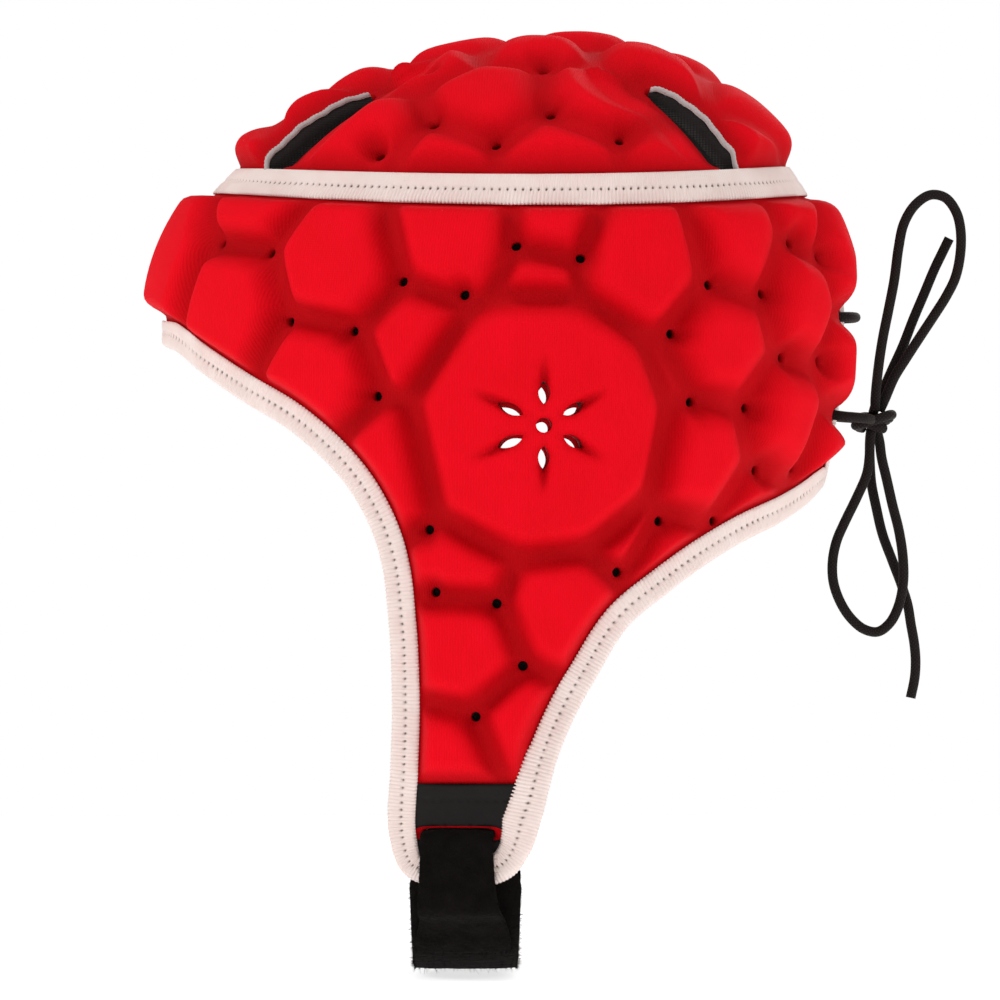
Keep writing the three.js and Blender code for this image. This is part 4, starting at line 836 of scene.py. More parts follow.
def cell_room(points, pads, others, softness):
    """Room to the nearest border: for each other cell, half the difference of the squared distances less
    reaches, over the distance of the middles, less half a channel. Other limits join as columns."""
    middles = place(pads[:, 0], pads[:, 1], pad_middle)
    squares = ((points[:, None] - middles) ** 2).sum(axis=2) - (pads[:, 2] * pad_reach) ** 2
    own = squares.argmin(axis=1)
    gap = np.linalg.norm(middles[own][:, None] - middles, axis=2)
    gap[np.arange(len(points)), own] = 1
    room = (squares - squares.min(axis=1, keepdims=True)) / (2 * gap) - channel_width / 2
    room[np.arange(len(points)), own] = 1
    return soft_least(np.hstack([room, others]), softness)


print(len(both_sides(side_pads)), "side cells", len(both_sides(crown_pads)), "crown cells")

# %% [markdown]
# A panel is cut from flat sheet on the real cap, and it is laid out flat here too. Cutting holes with
# boolean modifiers would leave long thin faces that show as creases. A flat net, cut into Delaunay
# triangles between its outline and its holes, stays even. Each flat point is then placed twice on the
# cap, on the outer and on the inner side, and walls along every outline close the shell.

# %% Flat charts and nets
mean_reach = (brow_reach + nape_reach) / 2
plane_reach = 0.002 * mm


def side_chart(turn, level):
    """Below the band: turn becomes a length across, level a depth, both in millimetres."""
    depth = depth_of(level)
    return np.stack([np.broadcast_to(turn, depth.shape) * mean_arc, depth], axis=-1) / mm


def side_place(flat):
    """Turn and level of the side chart's points."""
    return flat[:, 0] * mm / mean_arc, level_of(flat[:, 1] * mm)


def crown_chart(turn, level):
    """Over the crown: the angle from the pole is the distance from the chart's middle."""
    angle = np.arccos(np.clip(1 - level, -1, 1))
    across = angle * np.sin(np.radians(turn)) * half_width
    ahead = -angle * np.cos(np.radians(turn)) * mean_reach
    return np.stack([across, ahead], axis=-1) / mm


def crown_place(flat):
    """Turn and level of the crown chart's points."""
    across, ahead = flat[:, 0] * mm / half_width, -flat[:, 1] * mm / mean_reach
    return np.degrees(np.arctan2(across, ahead)), 1 - np.cos(np.hypot(across, ahead))

# %% [markdown]
# A net is what cloth is cut from here: an even field of points between the outlines. Rows of alternate
# points give near-equal triangles, which shade more smoothly than a square grid cut by the outlines.

# %% Nets
def inside(points, loop):
    """Whether each flat point lies inside a closed loop: a ray to the right crosses it an odd number of
    times."""
    start, end = loop, np.roll(loop, -1, axis=0)
    odd = np.zeros(len(points), bool)
    for (x1, y1), (x2, y2) in zip(start, end):
        if y1 == y2:
            continue
        crosses = (points[:, 1] >= min(y1, y2)) & (points[:, 1] < max(y1, y2))
        odd ^= crosses & (points[:, 0] < x1 + (points[:, 1] - y1) * (x2 - x1) / (y2 - y1))
    return odd


def loop_area(loop):
    """Half the sum of x times the next y less y times the next x: positive if it runs anticlockwise."""
    x, y = loop.T
    return 0.5 * float(np.sum(x * np.roll(y, -1) - y * np.roll(x, -1)))


def flat_net(loops, spacing):
    """Points and triangles that fill the first loop around the others. Grid points stand in rows, every
    other row half a step aside, and those too near a loop point give way."""
    loops = [loop if loop_area(loop) > 0 else loop[::-1] for loop in loops]
    rim = np.vstack(loops)
    low, high = rim.min(axis=0), rim.max(axis=0)
    columns = np.arange(low[0], high[0], spacing)
    rows = np.arange(low[1], high[1], spacing * np.sqrt(0.75))
    grid = np.stack(np.meshgrid(columns, rows), axis=-1)
    grid[1::2, :, 0] += spacing / 2
    grid = grid.reshape(-1, 2)
    cell = 0.6 * spacing
    taken = np.zeros(np.ceil((high - low + 4 * spacing) / cell).astype(int) + 4, bool)
    rim_cell = ((rim - low) / cell).astype(int) + 1
    for across in (-1, 0, 1):
        for along in (-1, 0, 1):
            taken[rim_cell[:, 0] + across, rim_cell[:, 1] + along] = True
    grid_cell = ((grid - low) / cell).astype(int) + 1
    free = ~taken[grid_cell[:, 0], grid_cell[:, 1]] & inside(grid, loops[0])
    for loop in loops[1:]:
        free &= ~inside(grid, loop)
    points = np.vstack([rim, grid[free]])
    starts = np.cumsum([0] + [len(loop) for loop in loops])
    edges = np.vstack([
        np.stack([np.arange(a, b), np.roll(np.arange(a, b), -1)], axis=-1)
        for a, b in zip(starts[:-1], starts[1:])])
    found = delaunay_2d_cdt(points.tolist(), edges.tolist(), [], 0, 1e-5)
    triangles = np.array(found[2])
    if len(found[0]) != len(points):
        raise ValueError("outlines of a panel touch or cross")
    a, b, c = (points[triangles[:, k]] for k in range(3))
    turned = (b - a)[:, 0] * (c - a)[:, 1] - (b - a)[:, 1] * (c - a)[:, 0]
    triangles[turned < 0] = triangles[turned < 0][:, ::-1]
    on_rim = (triangles < len(rim)).all(axis=1)
    middle = points[triangles[on_rim]].mean(axis=1)
    kept = inside(middle, loops[0])
    for loop in loops[1:]:
        kept &= ~inside(middle, loop)
    keep = np.ones(len(triangles), bool)
    keep[np.flatnonzero(on_rim)[~kept]] = False
    keep &= np.abs(turned) > 1e-7
    return points, triangles[keep], edges, len(loops[0])

# %% [markdown]
# Cloth and foam have a thickness that shows wherever they are cut. Blender's solidify modifier gives
# one thickness to a whole mesh. A shell of two sides, each placed by itself, can rise outside and stay
# smooth inside.

# %% Shells
def shell(outer, inner, triangles, edges, rim_count, is_half=False):
    """A closed shell: the net on the outer points, the same net turned over on the inner points, and
    two wall triangles for each edge of an outline. A half has no wall on the middle plane."""
    count = len(outer)
    hole = np.arange(len(edges)) >= rim_count
    a = np.where(hole, edges[:, 1], edges[:, 0])
    b = np.where(hole, edges[:, 0], edges[:, 1])
    if is_half:
        walled = ~(np.abs(outer[:, 0]) < plane_reach)[edges].all(axis=1)
        a, b = a[walled], b[walled]
    walls = np.vstack([
        np.stack([b, a, a + count], axis=-1),
        np.stack([b, a + count, b + count], axis=-1)])
    return np.vstack([outer, inner]), np.vstack([triangles, triangles[:, ::-1] + count, walls])


def mirrored(points, faces, *extras):
    """The half joined to its mirror image across the middle plane, where both share their points."""
    on_plane = np.abs(points[:, 0]) < plane_reach
    points = points.copy()
    points[on_plane, 0] = 0
    other = np.full(len(points), -1)
    other[on_plane] = np.flatnonzero(on_plane)
    other[~on_plane] = len(points) + np.arange((~on_plane).sum())
    both = np.vstack([points, points[~on_plane] * (-1, 1, 1)])
    joined = np.vstack([faces, other[faces][:, ::-1]])
    return (both, joined, *(np.concatenate([e, e[~on_plane]]) for e in extras))


print("net of a test square", len(flat_net([np.array([[0, 0], [9, 0], [9, 9], [0, 9.0]])], 1.0)[1]))

# %% [markdown]
# The side panel runs from the band down to the lower edge, and the crown panel fills the band. Their
# holes are the vents, the lace holes, the strap slots, the crown's four slots and the hearing vents,
# each a round hole with six petals round it. All are loops of points in the charts, worked out from a
# middle and a size, because a loop can also be offset or mirrored.

# %% Outlines and holes
lace_turn = 168
lace_levels = (0.976, 1.159)
lace_hole_radius = 2.3 * mm
slot_width = 5.6 * mm
slot_margin = 3.2 * mm
slot_gape = 1.4
slot_lift = 2.6 * mm
slot_dip = 2.3 * mm
slot_climb = 0.15
slot_far_climb = 0.5
slot_reach = 17 * mm
crown_slots = {
    "front": [(29.8, 0.450, 1.0), (28.6, 0.370, 1.0), (27.2, 0.290, 1.0), (25.8, 0.220, 0.9),
              (24.4, 0.170, 0.6), (23.4, 0.145, 0.2)],
    "back": [(136.2, 0.460, 1.0), (133.4, 0.380, 1.0), (130.6, 0.290, 1.0), (127.0, 0.210, 0.9),
             (122.4, 0.160, 0.6), (118.6, 0.142, 0.2)],
}
fold_width = 20.5 * mm
strap_turn = 78
strap_slot_height = 3.6 * mm
strap_slot_drop = 13.5 * mm
tip_depth = crown_height + cheek_depth
ear_middle = (92, 1.186)
ear_hole_radius = 2.2 * mm
ear_petal_near = 6 * mm
ear_petal_far = 13 * mm
ear_petal_half = 1.6 * mm
ear_crease_reach = 23 * mm
ear_crease_depth = 4.2 * mm
ear_rim_depth = 1.3 * mm
petal_rim_depth = 1.5 * mm
crease_shade = 0.7
petal_angles = np.radians(30 + 60 * np.arange(6))
box_power = 0.45


def around(middle, loop):
    """Turn and level of a loop given in metres across and down from a middle place."""
    turn, level = middle
    a, b, _ = tangents(turn, level, foam_outer)
    return turn + loop[:, 0] / np.linalg.norm(a), level + loop[:, 1] / np.linalg.norm(b)


def round_loop(radius, count):
    """A circle: the radius times the cosine and the sine of each angle."""
    angle = 2 * np.pi * np.arange(count) / count
    return radius * np.stack([np.cos(angle), np.sin(angle)], axis=-1)


def petal_half(share):
    """Half a petal's width at a share of its length: a sine arch to a power below 1."""
    return ear_petal_half * np.sin(np.pi * share) ** 0.8


def petal_loop(angle):
    """A petal with both ends pointed, at an angle round the ear's middle."""
    share = np.linspace(0, 1, 9)
    along = ear_petal_near + share * (ear_petal_far - ear_petal_near)
    half = petal_half(share)
    along = np.concatenate([along, along[-2:0:-1]])
    aside = np.concatenate([half, -half[-2:0:-1]])
    cos, sin = np.cos(angle), np.sin(angle)
    return np.stack([along * cos - aside * sin, along * sin + aside * cos], axis=-1)

# %% [markdown]
# Four slots run through the crown's cells and let it bend. Each is a long narrow lens round a short row
# of places. A loop of points would be enough to cut it, but a line with a share of the full width at
# each point also tells its two sides apart, so they can be moved later.

# %% Crown slots
def slot_line(rows):
    """The slot's middle line in finer rows of turn, level and width share. The scales bring the three
    columns to like sizes while the line is smoothed."""
    scales = (1, 100, 20)
    return smooth_line(np.array(rows) * scales, 5) / scales


def slot_side(rows, reach):
    """Turn and level beside a slot's middle line, at a reach given per row in metres."""
    turn, level, _ = rows.T
    along = np.gradient(place(turn, level, foam_outer), axis=0)
    across = np.cross(tangents(turn, level, foam_outer)[2], along)
    across /= np.linalg.norm(across, axis=1, keepdims=True)
    return moved(turn, level, across * reach[:, None], foam_outer)


def rounded_box(half_across, half_down, count=36):
    """A box with rounded ends: cosine and sine of the angle, each to a power below 1."""
    angle = 2 * np.pi * (np.arange(count) + 0.5) / count
    cos, sin = np.cos(angle), np.sin(angle)
    return np.stack([
        half_across * np.sign(cos) * np.abs(cos) ** box_power,
        half_down * np.sign(sin) * np.abs(sin) ** box_power], axis=-1)


slot_rows = [slot_line(rows) for rows in crown_slots.values()]
slot_rows += [rows * (-1, 1, 1) for rows in slot_rows]


def tape_side(rows):
    """Which side of a slot has the tape: 1 if it lies the way that slot_side counts up, else -1."""
    turn = rows[0, 0]
    return np.sign(turn) * np.sign(90 - abs(turn))


def crown_slot_loops():
    """The slots gape: the side without tape stands further back than the other."""
    loops = []
    for rows in slot_rows:
        reach = rows[:, 2] * slot_width / 2 * tape_side(rows)
        near, far = slot_side(rows, reach), slot_side(rows, -slot_gape * reach)
        turn = np.concatenate([near[0], far[0][::-1]])
        level = np.concatenate([near[1], far[1][::-1]])
        loops.append(crown_chart(turn, level))
    return loops


def vent_loops(vents, chart):
    return [chart(*around(vent, round_loop(vent_radius, 14))) for vent in vents]


strap_slot_middle = (strap_turn, float(level_of(tip_depth - strap_slot_drop - strap_slot_height / 2)))
side_cuts = [side_chart(*around((lace_turn, level), round_loop(lace_hole_radius, 18)))
             for level in lace_levels]
strap_slot_loop = side_chart(*around(
    strap_slot_middle, rounded_box(fold_width / 2 + 0.6 * mm, strap_slot_height / 2)))
ear_loops = [side_chart(*around(ear_middle, round_loop(ear_hole_radius, 20)))]
ear_loops += [side_chart(*around(ear_middle, petal_loop(angle))) for angle in petal_angles]

# %% [markdown]
# Foam and lining share their outlines but for the seam under the band tape: there the two panels of
# foam leave a gap, and the lining overlaps. So the outlines are functions of that gap, and not two
# lists of points each.

# %% Outlines of the panels
def side_outline(edge_inset, rim_gap, spacing):
    """The left half's outline: in from the lower edge, up the slit's end, back along the band and down
    the brow. Also which of its steps lie on the middle plane."""
    half = len(coarse_edge["turn"]) // 2 + 1
    turn, level = from_edge(coarse_edge, np.full(len(coarse_edge["turn"]), edge_inset), foam_outer)
    low = np.stack([turn[:half], level[:half]], axis=-1)
    low[0, 0], low[-1, 0] = 0, 180
    low = low[(low[:, 0] >= 0) & (low[:, 0] <= 180)]

    def between(a, b):
        count = max(2, int(abs(b[1] - a[1]) * crown_height / spacing))
        return np.linspace(a, b, count + 1)[1:-1]

    turns = np.linspace(180, 0, int(180 * mean_arc / spacing))
    high = np.stack([turns, band_level(turns) + rim_gap / crown_height], axis=-1)
    rows = np.vstack([low, between(low[-1], high[0]), high, between(high[-1], low[0])])
    return side_chart(*rows.T)


def crown_outline(rim_gap, spacing):
    """The crown panel's rim: all along the band, a gap above its middle line."""
    turns = np.linspace(-180, 180, int(360 * mean_arc / spacing))[1:]
    return crown_chart(turns, band_level(turns) - rim_gap / crown_height)


print(len(slot_rows), "crown slots", len(ear_loops), "loops in a hearing vent")

# %% [markdown]
# A foam cell is flat on top, round at its shoulder and pinched in its channel. Cloth simulation could
# blow it up, but it would also move the seams. Here a pad's height follows the room its point has to
# the nearest channel. The room is rounded off near zero, so the channel's floor is soft, and the rise
# eases out over the shoulder: one minus the rest of the shoulder to a power. At the back and on the
# crown the shoulder is wider, which makes the cells round as balloons. The hearing vent's creases are
# pressed in afterwards.

# %% Relief of the cells
net_spacing = 1.2
side_shoulder = 5.6 * mm
round_shoulder = 9.5 * mm
floor_shoulder = 9 * mm
channel_foot = 0.5 * mm
rise_power = 2.2
border_softness = 0.8 * mm
edge_line = place(coarse_edge["turn"], coarse_edge["level"], pad_middle)[::3]
edge_line = np.vstack([edge_line, edge_line[:1]])
band_turns = np.arange(0, 361, 6.0)
band_line = place(band_turns, band_level(band_turns), pad_middle)
slot_lines = [place(*rows[:, :2].T, pad_middle) for rows in slot_rows]


def vent_distance(points, vents):
    """Distance from each point to the nearest vent's middle."""
    middles = place(vents[:, 0], vents[:, 1], pad_middle)
    return np.linalg.norm(points[:, None] - middles, axis=2).min(axis=1)


def band_room(points):
    """Room to the band tape's edge."""
    return distance_to_line(points, band_line) - band_width / 2 - tape_margin


def side_limits(points):
    """Room to the lower edge, the band, the patch and the vents, as columns."""
    return np.stack([
        distance_to_line(points, edge_line) - binding_width - tape_margin,
        band_room(points),
        points[:, 2] + tip_depth - patch_height - tape_margin,
        vent_distance(points, side_vents) - vent_radius - vent_margin], axis=-1)

# %% [markdown]
# A slot gapes on the real cap because the head's round form pulls its sides apart. Moving both sides by
# a soft fade, one up and one down, shows the cut foam between them and leaves no crease in the cells
# around it.

# %% Sides of the slots
def beside_slot(points, line, rows):
    """Distance to a slot's middle line, and the signed reach beside it, positive towards its tape."""
    away = distance_to_line(points, line)
    nearest = ((points[:, None] - line[None]) ** 2).sum(axis=2).argmin(axis=1)
    turn, level, _ = rows.T
    across = np.cross(tangents(turn, level, foam_outer)[2], np.gradient(line, axis=0))
    across *= tape_side(rows) / np.linalg.norm(across, axis=1, keepdims=True)
    beside = np.einsum("ij,ij->i", points - line[nearest], across[nearest])
    return away, beside, rows[nearest, 2]


def off_band(points):
    """Share from 0 at the band tape to 1 away from it, where the foam is free to bend."""
    return eased(distance_to_line(points, band_line), 5.5 * mm, 10 * mm)


def slot_move(points):
    """How far the foam stands up on the tape's side of each slot and sinks on the other. It fades with
    the distance from the slot and with the slot's width."""
    move = np.zeros(len(points))
    for line, rows in zip(slot_lines, slot_rows):
        away, beside, share = beside_slot(points, line, rows)
        fade = 1 - eased(away, 3.2 * mm, 15 * mm)
        move += np.where(beside > 0, slot_lift, -slot_dip) * fade * share
    return move * off_band(points)


def slot_cap(points):
    """The most a pad may rise: on a slot's side without tape it climbs slowly, so the slot is seen. From
    slot_reach on it climbs faster, and beside the tape there is no such limit."""
    cap = np.full(len(points), 2 * pad_rise)
    for line, rows in zip(slot_lines, slot_rows):
        away, beside, _ = beside_slot(points, line, rows)
        near = slot_climb * np.maximum(away - slot_gape * slot_width / 2, 0)
        beyond = slot_far_climb * np.maximum(away - slot_reach, 0)
        cap = np.minimum(cap, near + beyond + 2 * pad_rise * eased(beside, -2 * mm, 3 * mm))
    return cap


def crown_limits(points):
    """Room to the band, the vents and the four slots, as columns."""
    slots = []
    for line, rows in zip(slot_lines, slot_rows):
        away, _, _ = beside_slot(points, line, rows)
        slots.append(away - slot_width / 2 - slot_margin)
    return np.stack([
        band_room(points),
        vent_distance(points, both_sides(crown_vents)) - vent_radius - vent_margin, *slots], axis=-1)

# %% [markdown]
# Foam under stretched cloth rises steeply from its seam and then levels off. A part of a circle or a
# sine would serve as well, but a power of the rest of the shoulder has one number for how full the pad
# looks.

# %% Form of a pad
def puffed(room, shoulder):
    """Share of the full rise: 0 in the channel, 1 beyond the shoulder."""
    lifted = channel_foot * np.logaddexp(0, room / channel_foot)
    return 1 - (1 - np.clip(lifted / shoulder, 0, 1)) ** rise_power


def eased(value, low, high):
    """From 0 at low to 1 at high: 3 times the share squared less twice its cube."""
    share = np.clip((value - low) / (high - low), 0, 1)
    return share * share * (3 - 2 * share)


def bell(value, width):
    """1 at 0, falling off by the exponential of minus the square of value over width."""
    return np.exp(-(value / width) ** 2)


def ear_press(turn, level):
    """How deep the ear's pad is pressed in: a crease beyond each petal, and a soft rim round holes. Each
    is a bell of the distance, and the deepest counts."""
    a, b, _ = tangents(*ear_middle, pad_middle)
    across = (turn - ear_middle[0]) * np.linalg.norm(a)
    down = (level - ear_middle[1]) * np.linalg.norm(b)
    reach = np.hypot(across, down)
    depth = ear_rim_depth * bell(reach - ear_hole_radius, 1.3 * mm)
    for angle in petal_angles:
        along = across * np.cos(angle) + down * np.sin(angle)
        aside = down * np.cos(angle) - across * np.sin(angle)
        share = np.clip((along - ear_petal_near) / (ear_petal_far - ear_petal_near), 0, 1)
        past_end = np.maximum(np.maximum(ear_petal_near - along, along - ear_petal_far), 0)
        gap = np.hypot(np.maximum(np.abs(aside) - petal_half(share), 0), past_end)
        fade = 1 - eased(along, ear_petal_far - ear_petal_half, ear_crease_reach)
        crease = ear_crease_depth * fade * (along > 0) * bell(aside, 1.7 * mm)
        crease *= eased(along, ear_petal_near, ear_petal_far)
        depth = np.maximum(depth, petal_rim_depth * bell(gap, 1.4 * mm))
        depth = np.maximum(depth, crease)
    return depth


def raised(share, limits, floor):
    """The share once the channels between cells stand a little above the panel, as foam that is pressed
    less there. Toward the tapes, vents and slots they fall back to it."""
    floor = floor * puffed(soft_least(limits, border_softness), floor_shoulder)
    return floor + (1 - floor) * share

# %% [markdown]
# The height at a place is the pad's rise, less what presses it down: the band, the lower edge, the
# vents and the creases of the hearing vent. One function for each panel serves the foam, its lining and
# its cloth values alike.

# %% Height of the foam
def side_height(turn, level):
    """Share of the full rise and height of the side panel's foam. The cells behind the ear are rounder,
    and their channels shallower. In the hearing vent's creases the share is lowered, which paints shade
    there in the red and also lets the lining sag less."""
    points = place(turn, level, pad_middle)
    limits = side_limits(points)
    room = cell_room(points, both_sides(side_pads), limits, border_softness)
    back = eased(turn, 108, 135)
    share = puffed(room, side_shoulder + back * (round_shoulder - side_shoulder))
    share = raised(share, limits, 0.08 + 0.14 * back)
    press = ear_press(turn, level) * eased(room, 0, 4 * mm)
    height = np.maximum(share * (pad_rise + pad_dome * back) - press, 0)
    # Painted shade: the share, which also sets how dark the red is, drops in the hearing vent's creases.
    return share - crease_shade * press / ear_crease_depth, height


def crown_height_of(turn, level):
    """The same for the crown panel, whose channels are shallowest at the brow and the nape."""
    points = place(turn, level, pad_middle)
    limits = crown_limits(points)
    room = cell_room(points, both_sides(crown_pads), limits, border_softness)
    ends = np.maximum(1 - eased(np.abs(turn), 25, 60), eased(np.abs(turn), 120, 150))
    share = raised(puffed(room, round_shoulder), limits, 0.3 + 0.25 * ends)
    height = soft_least(
        np.stack([share * (pad_rise + pad_dome), slot_cap(points)], axis=-1), 0.6 * mm)
    return share, np.maximum(height, 0) + slot_move(points)


print("pads rise", round(pad_rise / mm, 2), "millimetres over a shoulder of", round(side_shoulder / mm, 2))

# %% [markdown]
# A layer of the cap is one call now: a net inside its outlines, placed once at the layer's outer offset
# and once at its inner one. On the real cap a foam sheet is pressed or cut into cells and sewn between
# the cover and a backing. A cloth simulation could puff each cell as well, but heights from a formula
# keep the vents, seams and slots exactly where they belong. The side panel goes round the head from the
# slit, so only its left half is worked out, and the right half is its mirror image.

# %% Side panel
def panel(loops, spacing, layer, is_half):
    """Points, faces, map and share of the full rise of a layer: a half of the side panel, joined to its
    mirror image, or the crown panel. layer gives the inner and the outer offset from share and height."""
    flat, triangles, edges, rim_count = flat_net(loops, spacing)
    turn, level = side_place(flat) if is_half else crown_place(flat)
    share, height = side_height(turn, level) if is_half else crown_height_of(turn, level)
    inner, outer = (place(turn, level, out) for out in layer(share, height))
    points, faces = shell(outer, inner, triangles, edges, rim_count, is_half)
    extras = np.vstack([flat, flat]), np.concatenate([share, 0 * share])
    return mirrored(points, faces, *extras) if is_half else (points, faces, *extras)


def foam_layer(share, height):
    """Foam: flat inside, and its full height outside."""
    return foam_inner, foam_outer + height


loops = [side_outline(tape_wall + clearance, seam_gap / 2, net_spacing * mm)]
loops += vent_loops(side_vents, side_chart) + side_cuts + [strap_slot_loop] + ear_loops
points, faces, cloth, rise = panel(loops, net_spacing, foam_layer, True)
side_pad = make_piece("side pad", points, faces, red_cover, cloth, {"rise": rise})

# %% [markdown]
# The crown panel is a shallow dome, sewn to the side panel under the band tape. Its chart opens out from
# the pole, so it needs no mirror image. The four slots let the real crown flex, and they are holes here.

# %% Crown panel
loops = [crown_outline(seam_gap / 2, net_spacing * mm)]
loops += vent_loops(both_sides(crown_vents), crown_chart) + crown_slot_loops()
points, faces, cloth, rise = panel(loops, net_spacing, foam_layer, False)
crown_pad = make_piece("crown pad", points, faces, red_cover, cloth[:, ::-1], {"rise": rise})

# %% [markdown]
# The lining is a thin black cloth on the inner side of both panels, a little free of the foam. It could
# be a copy of the foam's inner side, but cloth between seams isn't flat: it sags inwards by a share of
# how far the cell outside it rises. It covers the vents, which look black for that reason. Over each
# ear it has a round window.

# %% Lining
lining_spacing = 2.4
lining_puff = 0.5 * mm
lining_sink = 0.3 * mm
window_reach = 14 * mm
seam_overlap = 1 * mm


def lining_layer(share, height):
    """Lining: both sides sag inwards with the share of the rise."""
    return -lining_puff * share, lining_wall - lining_sink * share


loops = [side_outline(tape_wall + clearance, 0, lining_spacing * mm)] + side_cuts + [strap_slot_loop]
loops.append(side_chart(*around(ear_middle, round_loop(window_reach, 40))))
low_points, low_faces, low_cloth, _ = panel(loops, lining_spacing, lining_layer, True)
loops = [crown_outline(-seam_overlap, lining_spacing * mm)] + crown_slot_loops()
top_points, top_faces, top_cloth, _ = panel(loops, lining_spacing, lining_layer, False)
points = np.vstack([low_points, top_points])
faces = np.vstack([low_faces, top_faces + len(low_points)])
make_piece("lining", points, faces, lining_cloth, np.vstack([low_cloth, top_cloth]))

# %% [markdown]
# The band tape covers the seam between the two panels. A texture could show its weave, but its ribs
# catch the light on the rim, so they are geometry: a cosine of the way walked along the tape. A stitch
# line is a groove along it, with small threads that rise out of it between needle holes.

# %% Band tape
stitch_pitch = 2.3 * mm
stitch_groove = {"depth": 0.38 * mm, "width": 0.55 * mm}
stitch_thread = {"height": 0.30 * mm, "width": 0.32 * mm, "start": 0.3, "length": 0.7, "power": 0.7}
needle_hole = {"depth": 0.25 * mm, "width": 0.36 * mm, "at": 0.15, "length": 0.13}
upper_rib = {"pitch": 0.75 * mm, "height": 0.09 * mm}
lower_rib = {"pitch": 1.1 * mm, "height": 0.16 * mm}
rim_drop = 0.4 * mm
tooth_size = 0.32 * mm
seam_aside = 0.2 * mm
band_stations = 2840
band_columns = np.array([
    -5.0, -4.93, -4.7, -4.2, -3.3, -2.4, -1.5, -0.8, -0.5, -0.25, 0, 0.25, 0.5, 0.8,
    1.5, 2.4, 3.3, 4.2, 4.7, 4.93, 5.0])


def stitched(walk, across):
    """Height and darkness of a stitch line: a groove less thread bumps, painted shade round each needle hole.
    """
    phase = (walk / stitch_pitch) % 1
    groove = -stitch_groove["depth"] * bell(across, stitch_groove["width"])
    along = np.clip((phase - stitch_thread["start"]) / stitch_thread["length"], 0, 1)
    thread = stitch_thread["height"] * bell(across, stitch_thread["width"])
    thread = thread * np.sin(np.pi * along) ** stitch_thread["power"]
    hole = bell(phase - needle_hole["at"], needle_hole["length"]) * bell(across, needle_hole["width"])
    return groove + thread - needle_hole["depth"] * hole, np.clip(1.5 * hole, 0, 1)


def ribs(walk, rib):
    """Height of woven ribs: a cosine of the way along the tape."""
    return rib["height"] * np.cos(2 * np.pi * walk / rib["pitch"])


def band_tape_rings():
    """Sections of the band all round the head, each a row across its top and a row back under it. Also
    the map in millimetres and how dark the needle holes make each point."""
    turns = np.arange(band_stations) * 360 / band_stations
    level = band_level(turns)
    walk = walked(place(turns, level, tape_outer))[:, None]
    half = band_width / 2
    across = band_columns / band_columns.max() * half
    low_side = (across > 0)[None, :]
    lift = np.where(low_side, ribs(walk, lower_rib), ribs(walk, upper_rib))
    sewn, needle = stitched(walk, across[None, :] - seam_aside)
    rim = np.abs(across[None, :]) / half
    lift = lift + sewn - rim_drop * np.clip((rim - 0.92) / 0.08, 0, 1) ** 2
    tooth = tooth_size * np.cos(2 * np.pi * walk / lower_rib["pitch"]) * eased(across, 0.6 * half, half)
    reach = across[None, :] + tooth
    slope = np.linalg.norm(tangents(turns, level, tape_inner)[1], axis=1)[:, None]
    top = place(turns[:, None], level[:, None] + reach / slope, tape_outer + lift)
    under = np.array([half, 0, -half])[None, :] + 0 * walk
    base = place(turns[:, None], level[:, None] + under / slope, tape_inner)
    rings = np.concatenate([top, base], axis=1)
    cloth = np.stack([np.broadcast_to(walk, rings.shape[:2]), np.hstack([reach, under])], axis=-1)
    dark = np.hstack([needle, 0 * under])
    return rings, cloth.reshape(-1, 2) / mm, dark.ravel()


rings, cloth, dark = band_tape_rings()
points, faces = skin(rings, looped=True)
make_piece("band tape", points, faces, white_tape, cloth, {"needle": dark})

# %% [markdown]
# The binding is one tape folded over the whole edge and sewn through: a leg outside, a round fold, and
# a leg inside. A curve with a bevel would cross itself where the edge bends sharply. Carrying a cross-
# section along the edge as numbers lets each leg be shorter there. The section is a table of insets and
# offsets, each with the direction that counts as outwards. Ribs run across it, and the outer leg's tip
# is toothed where the ribs end.

# %% Edge binding
binding_spacing = 0.29 * mm
binding_bulge = 0.9 * mm
fold_inset = 0.9 * mm
outer_leg_shares = (1.0, 0.985, 0.94, 0.85, 0.7, 0.6, 0.55, 0.5, 0.45, 0.4, 0.3, 0.22)
inner_leg_shares = (0.35, 0.7, 1.0)
binding_tooth = 0.3 * mm
leg_tip_drop = 0.35 * mm
slope_reach = 5 * mm


def binding_section():
    """Rows of leg share, inset, offset and the outward direction: along the outer leg to the fold, round
    it as half an ellipse, along the inner leg, and back inside the fold."""
    outside = [(share, 0, tape_outer, 0, 1) for share in outer_leg_shares]
    low, high = inner_tape_top - tape_wall, tape_outer
    middle, half = (low + high) / 2, (high - low) / 2
    fold = []
    for angle in np.radians(np.linspace(90, -90, 9)):
        cos, sin = np.cos(angle), np.sin(angle)
        fold.append((0, fold_inset - (fold_inset + binding_bulge) * cos, middle + half * sin, -cos, sin))
    inside_leg = [(share, 0, low, 0, -1) for share in inner_leg_shares]
    back = [(1.0, 0, inner_tape_top, 0, 0), (0, tape_wall, inner_tape_top, 0, 0),
            (0, tape_wall, tape_inner, 0, 0), (1.0, 0, tape_inner, 0, 0)]
    return np.array(outside + fold + inside_leg + back), len(outside)


def ring_mean(values, reach):
    """The mean of each row and its neighbours up to a reach, round a closed loop."""
    return sum(np.roll(values, k, axis=0) for k in range(-reach, reach + 1)) / (2 * reach + 1)


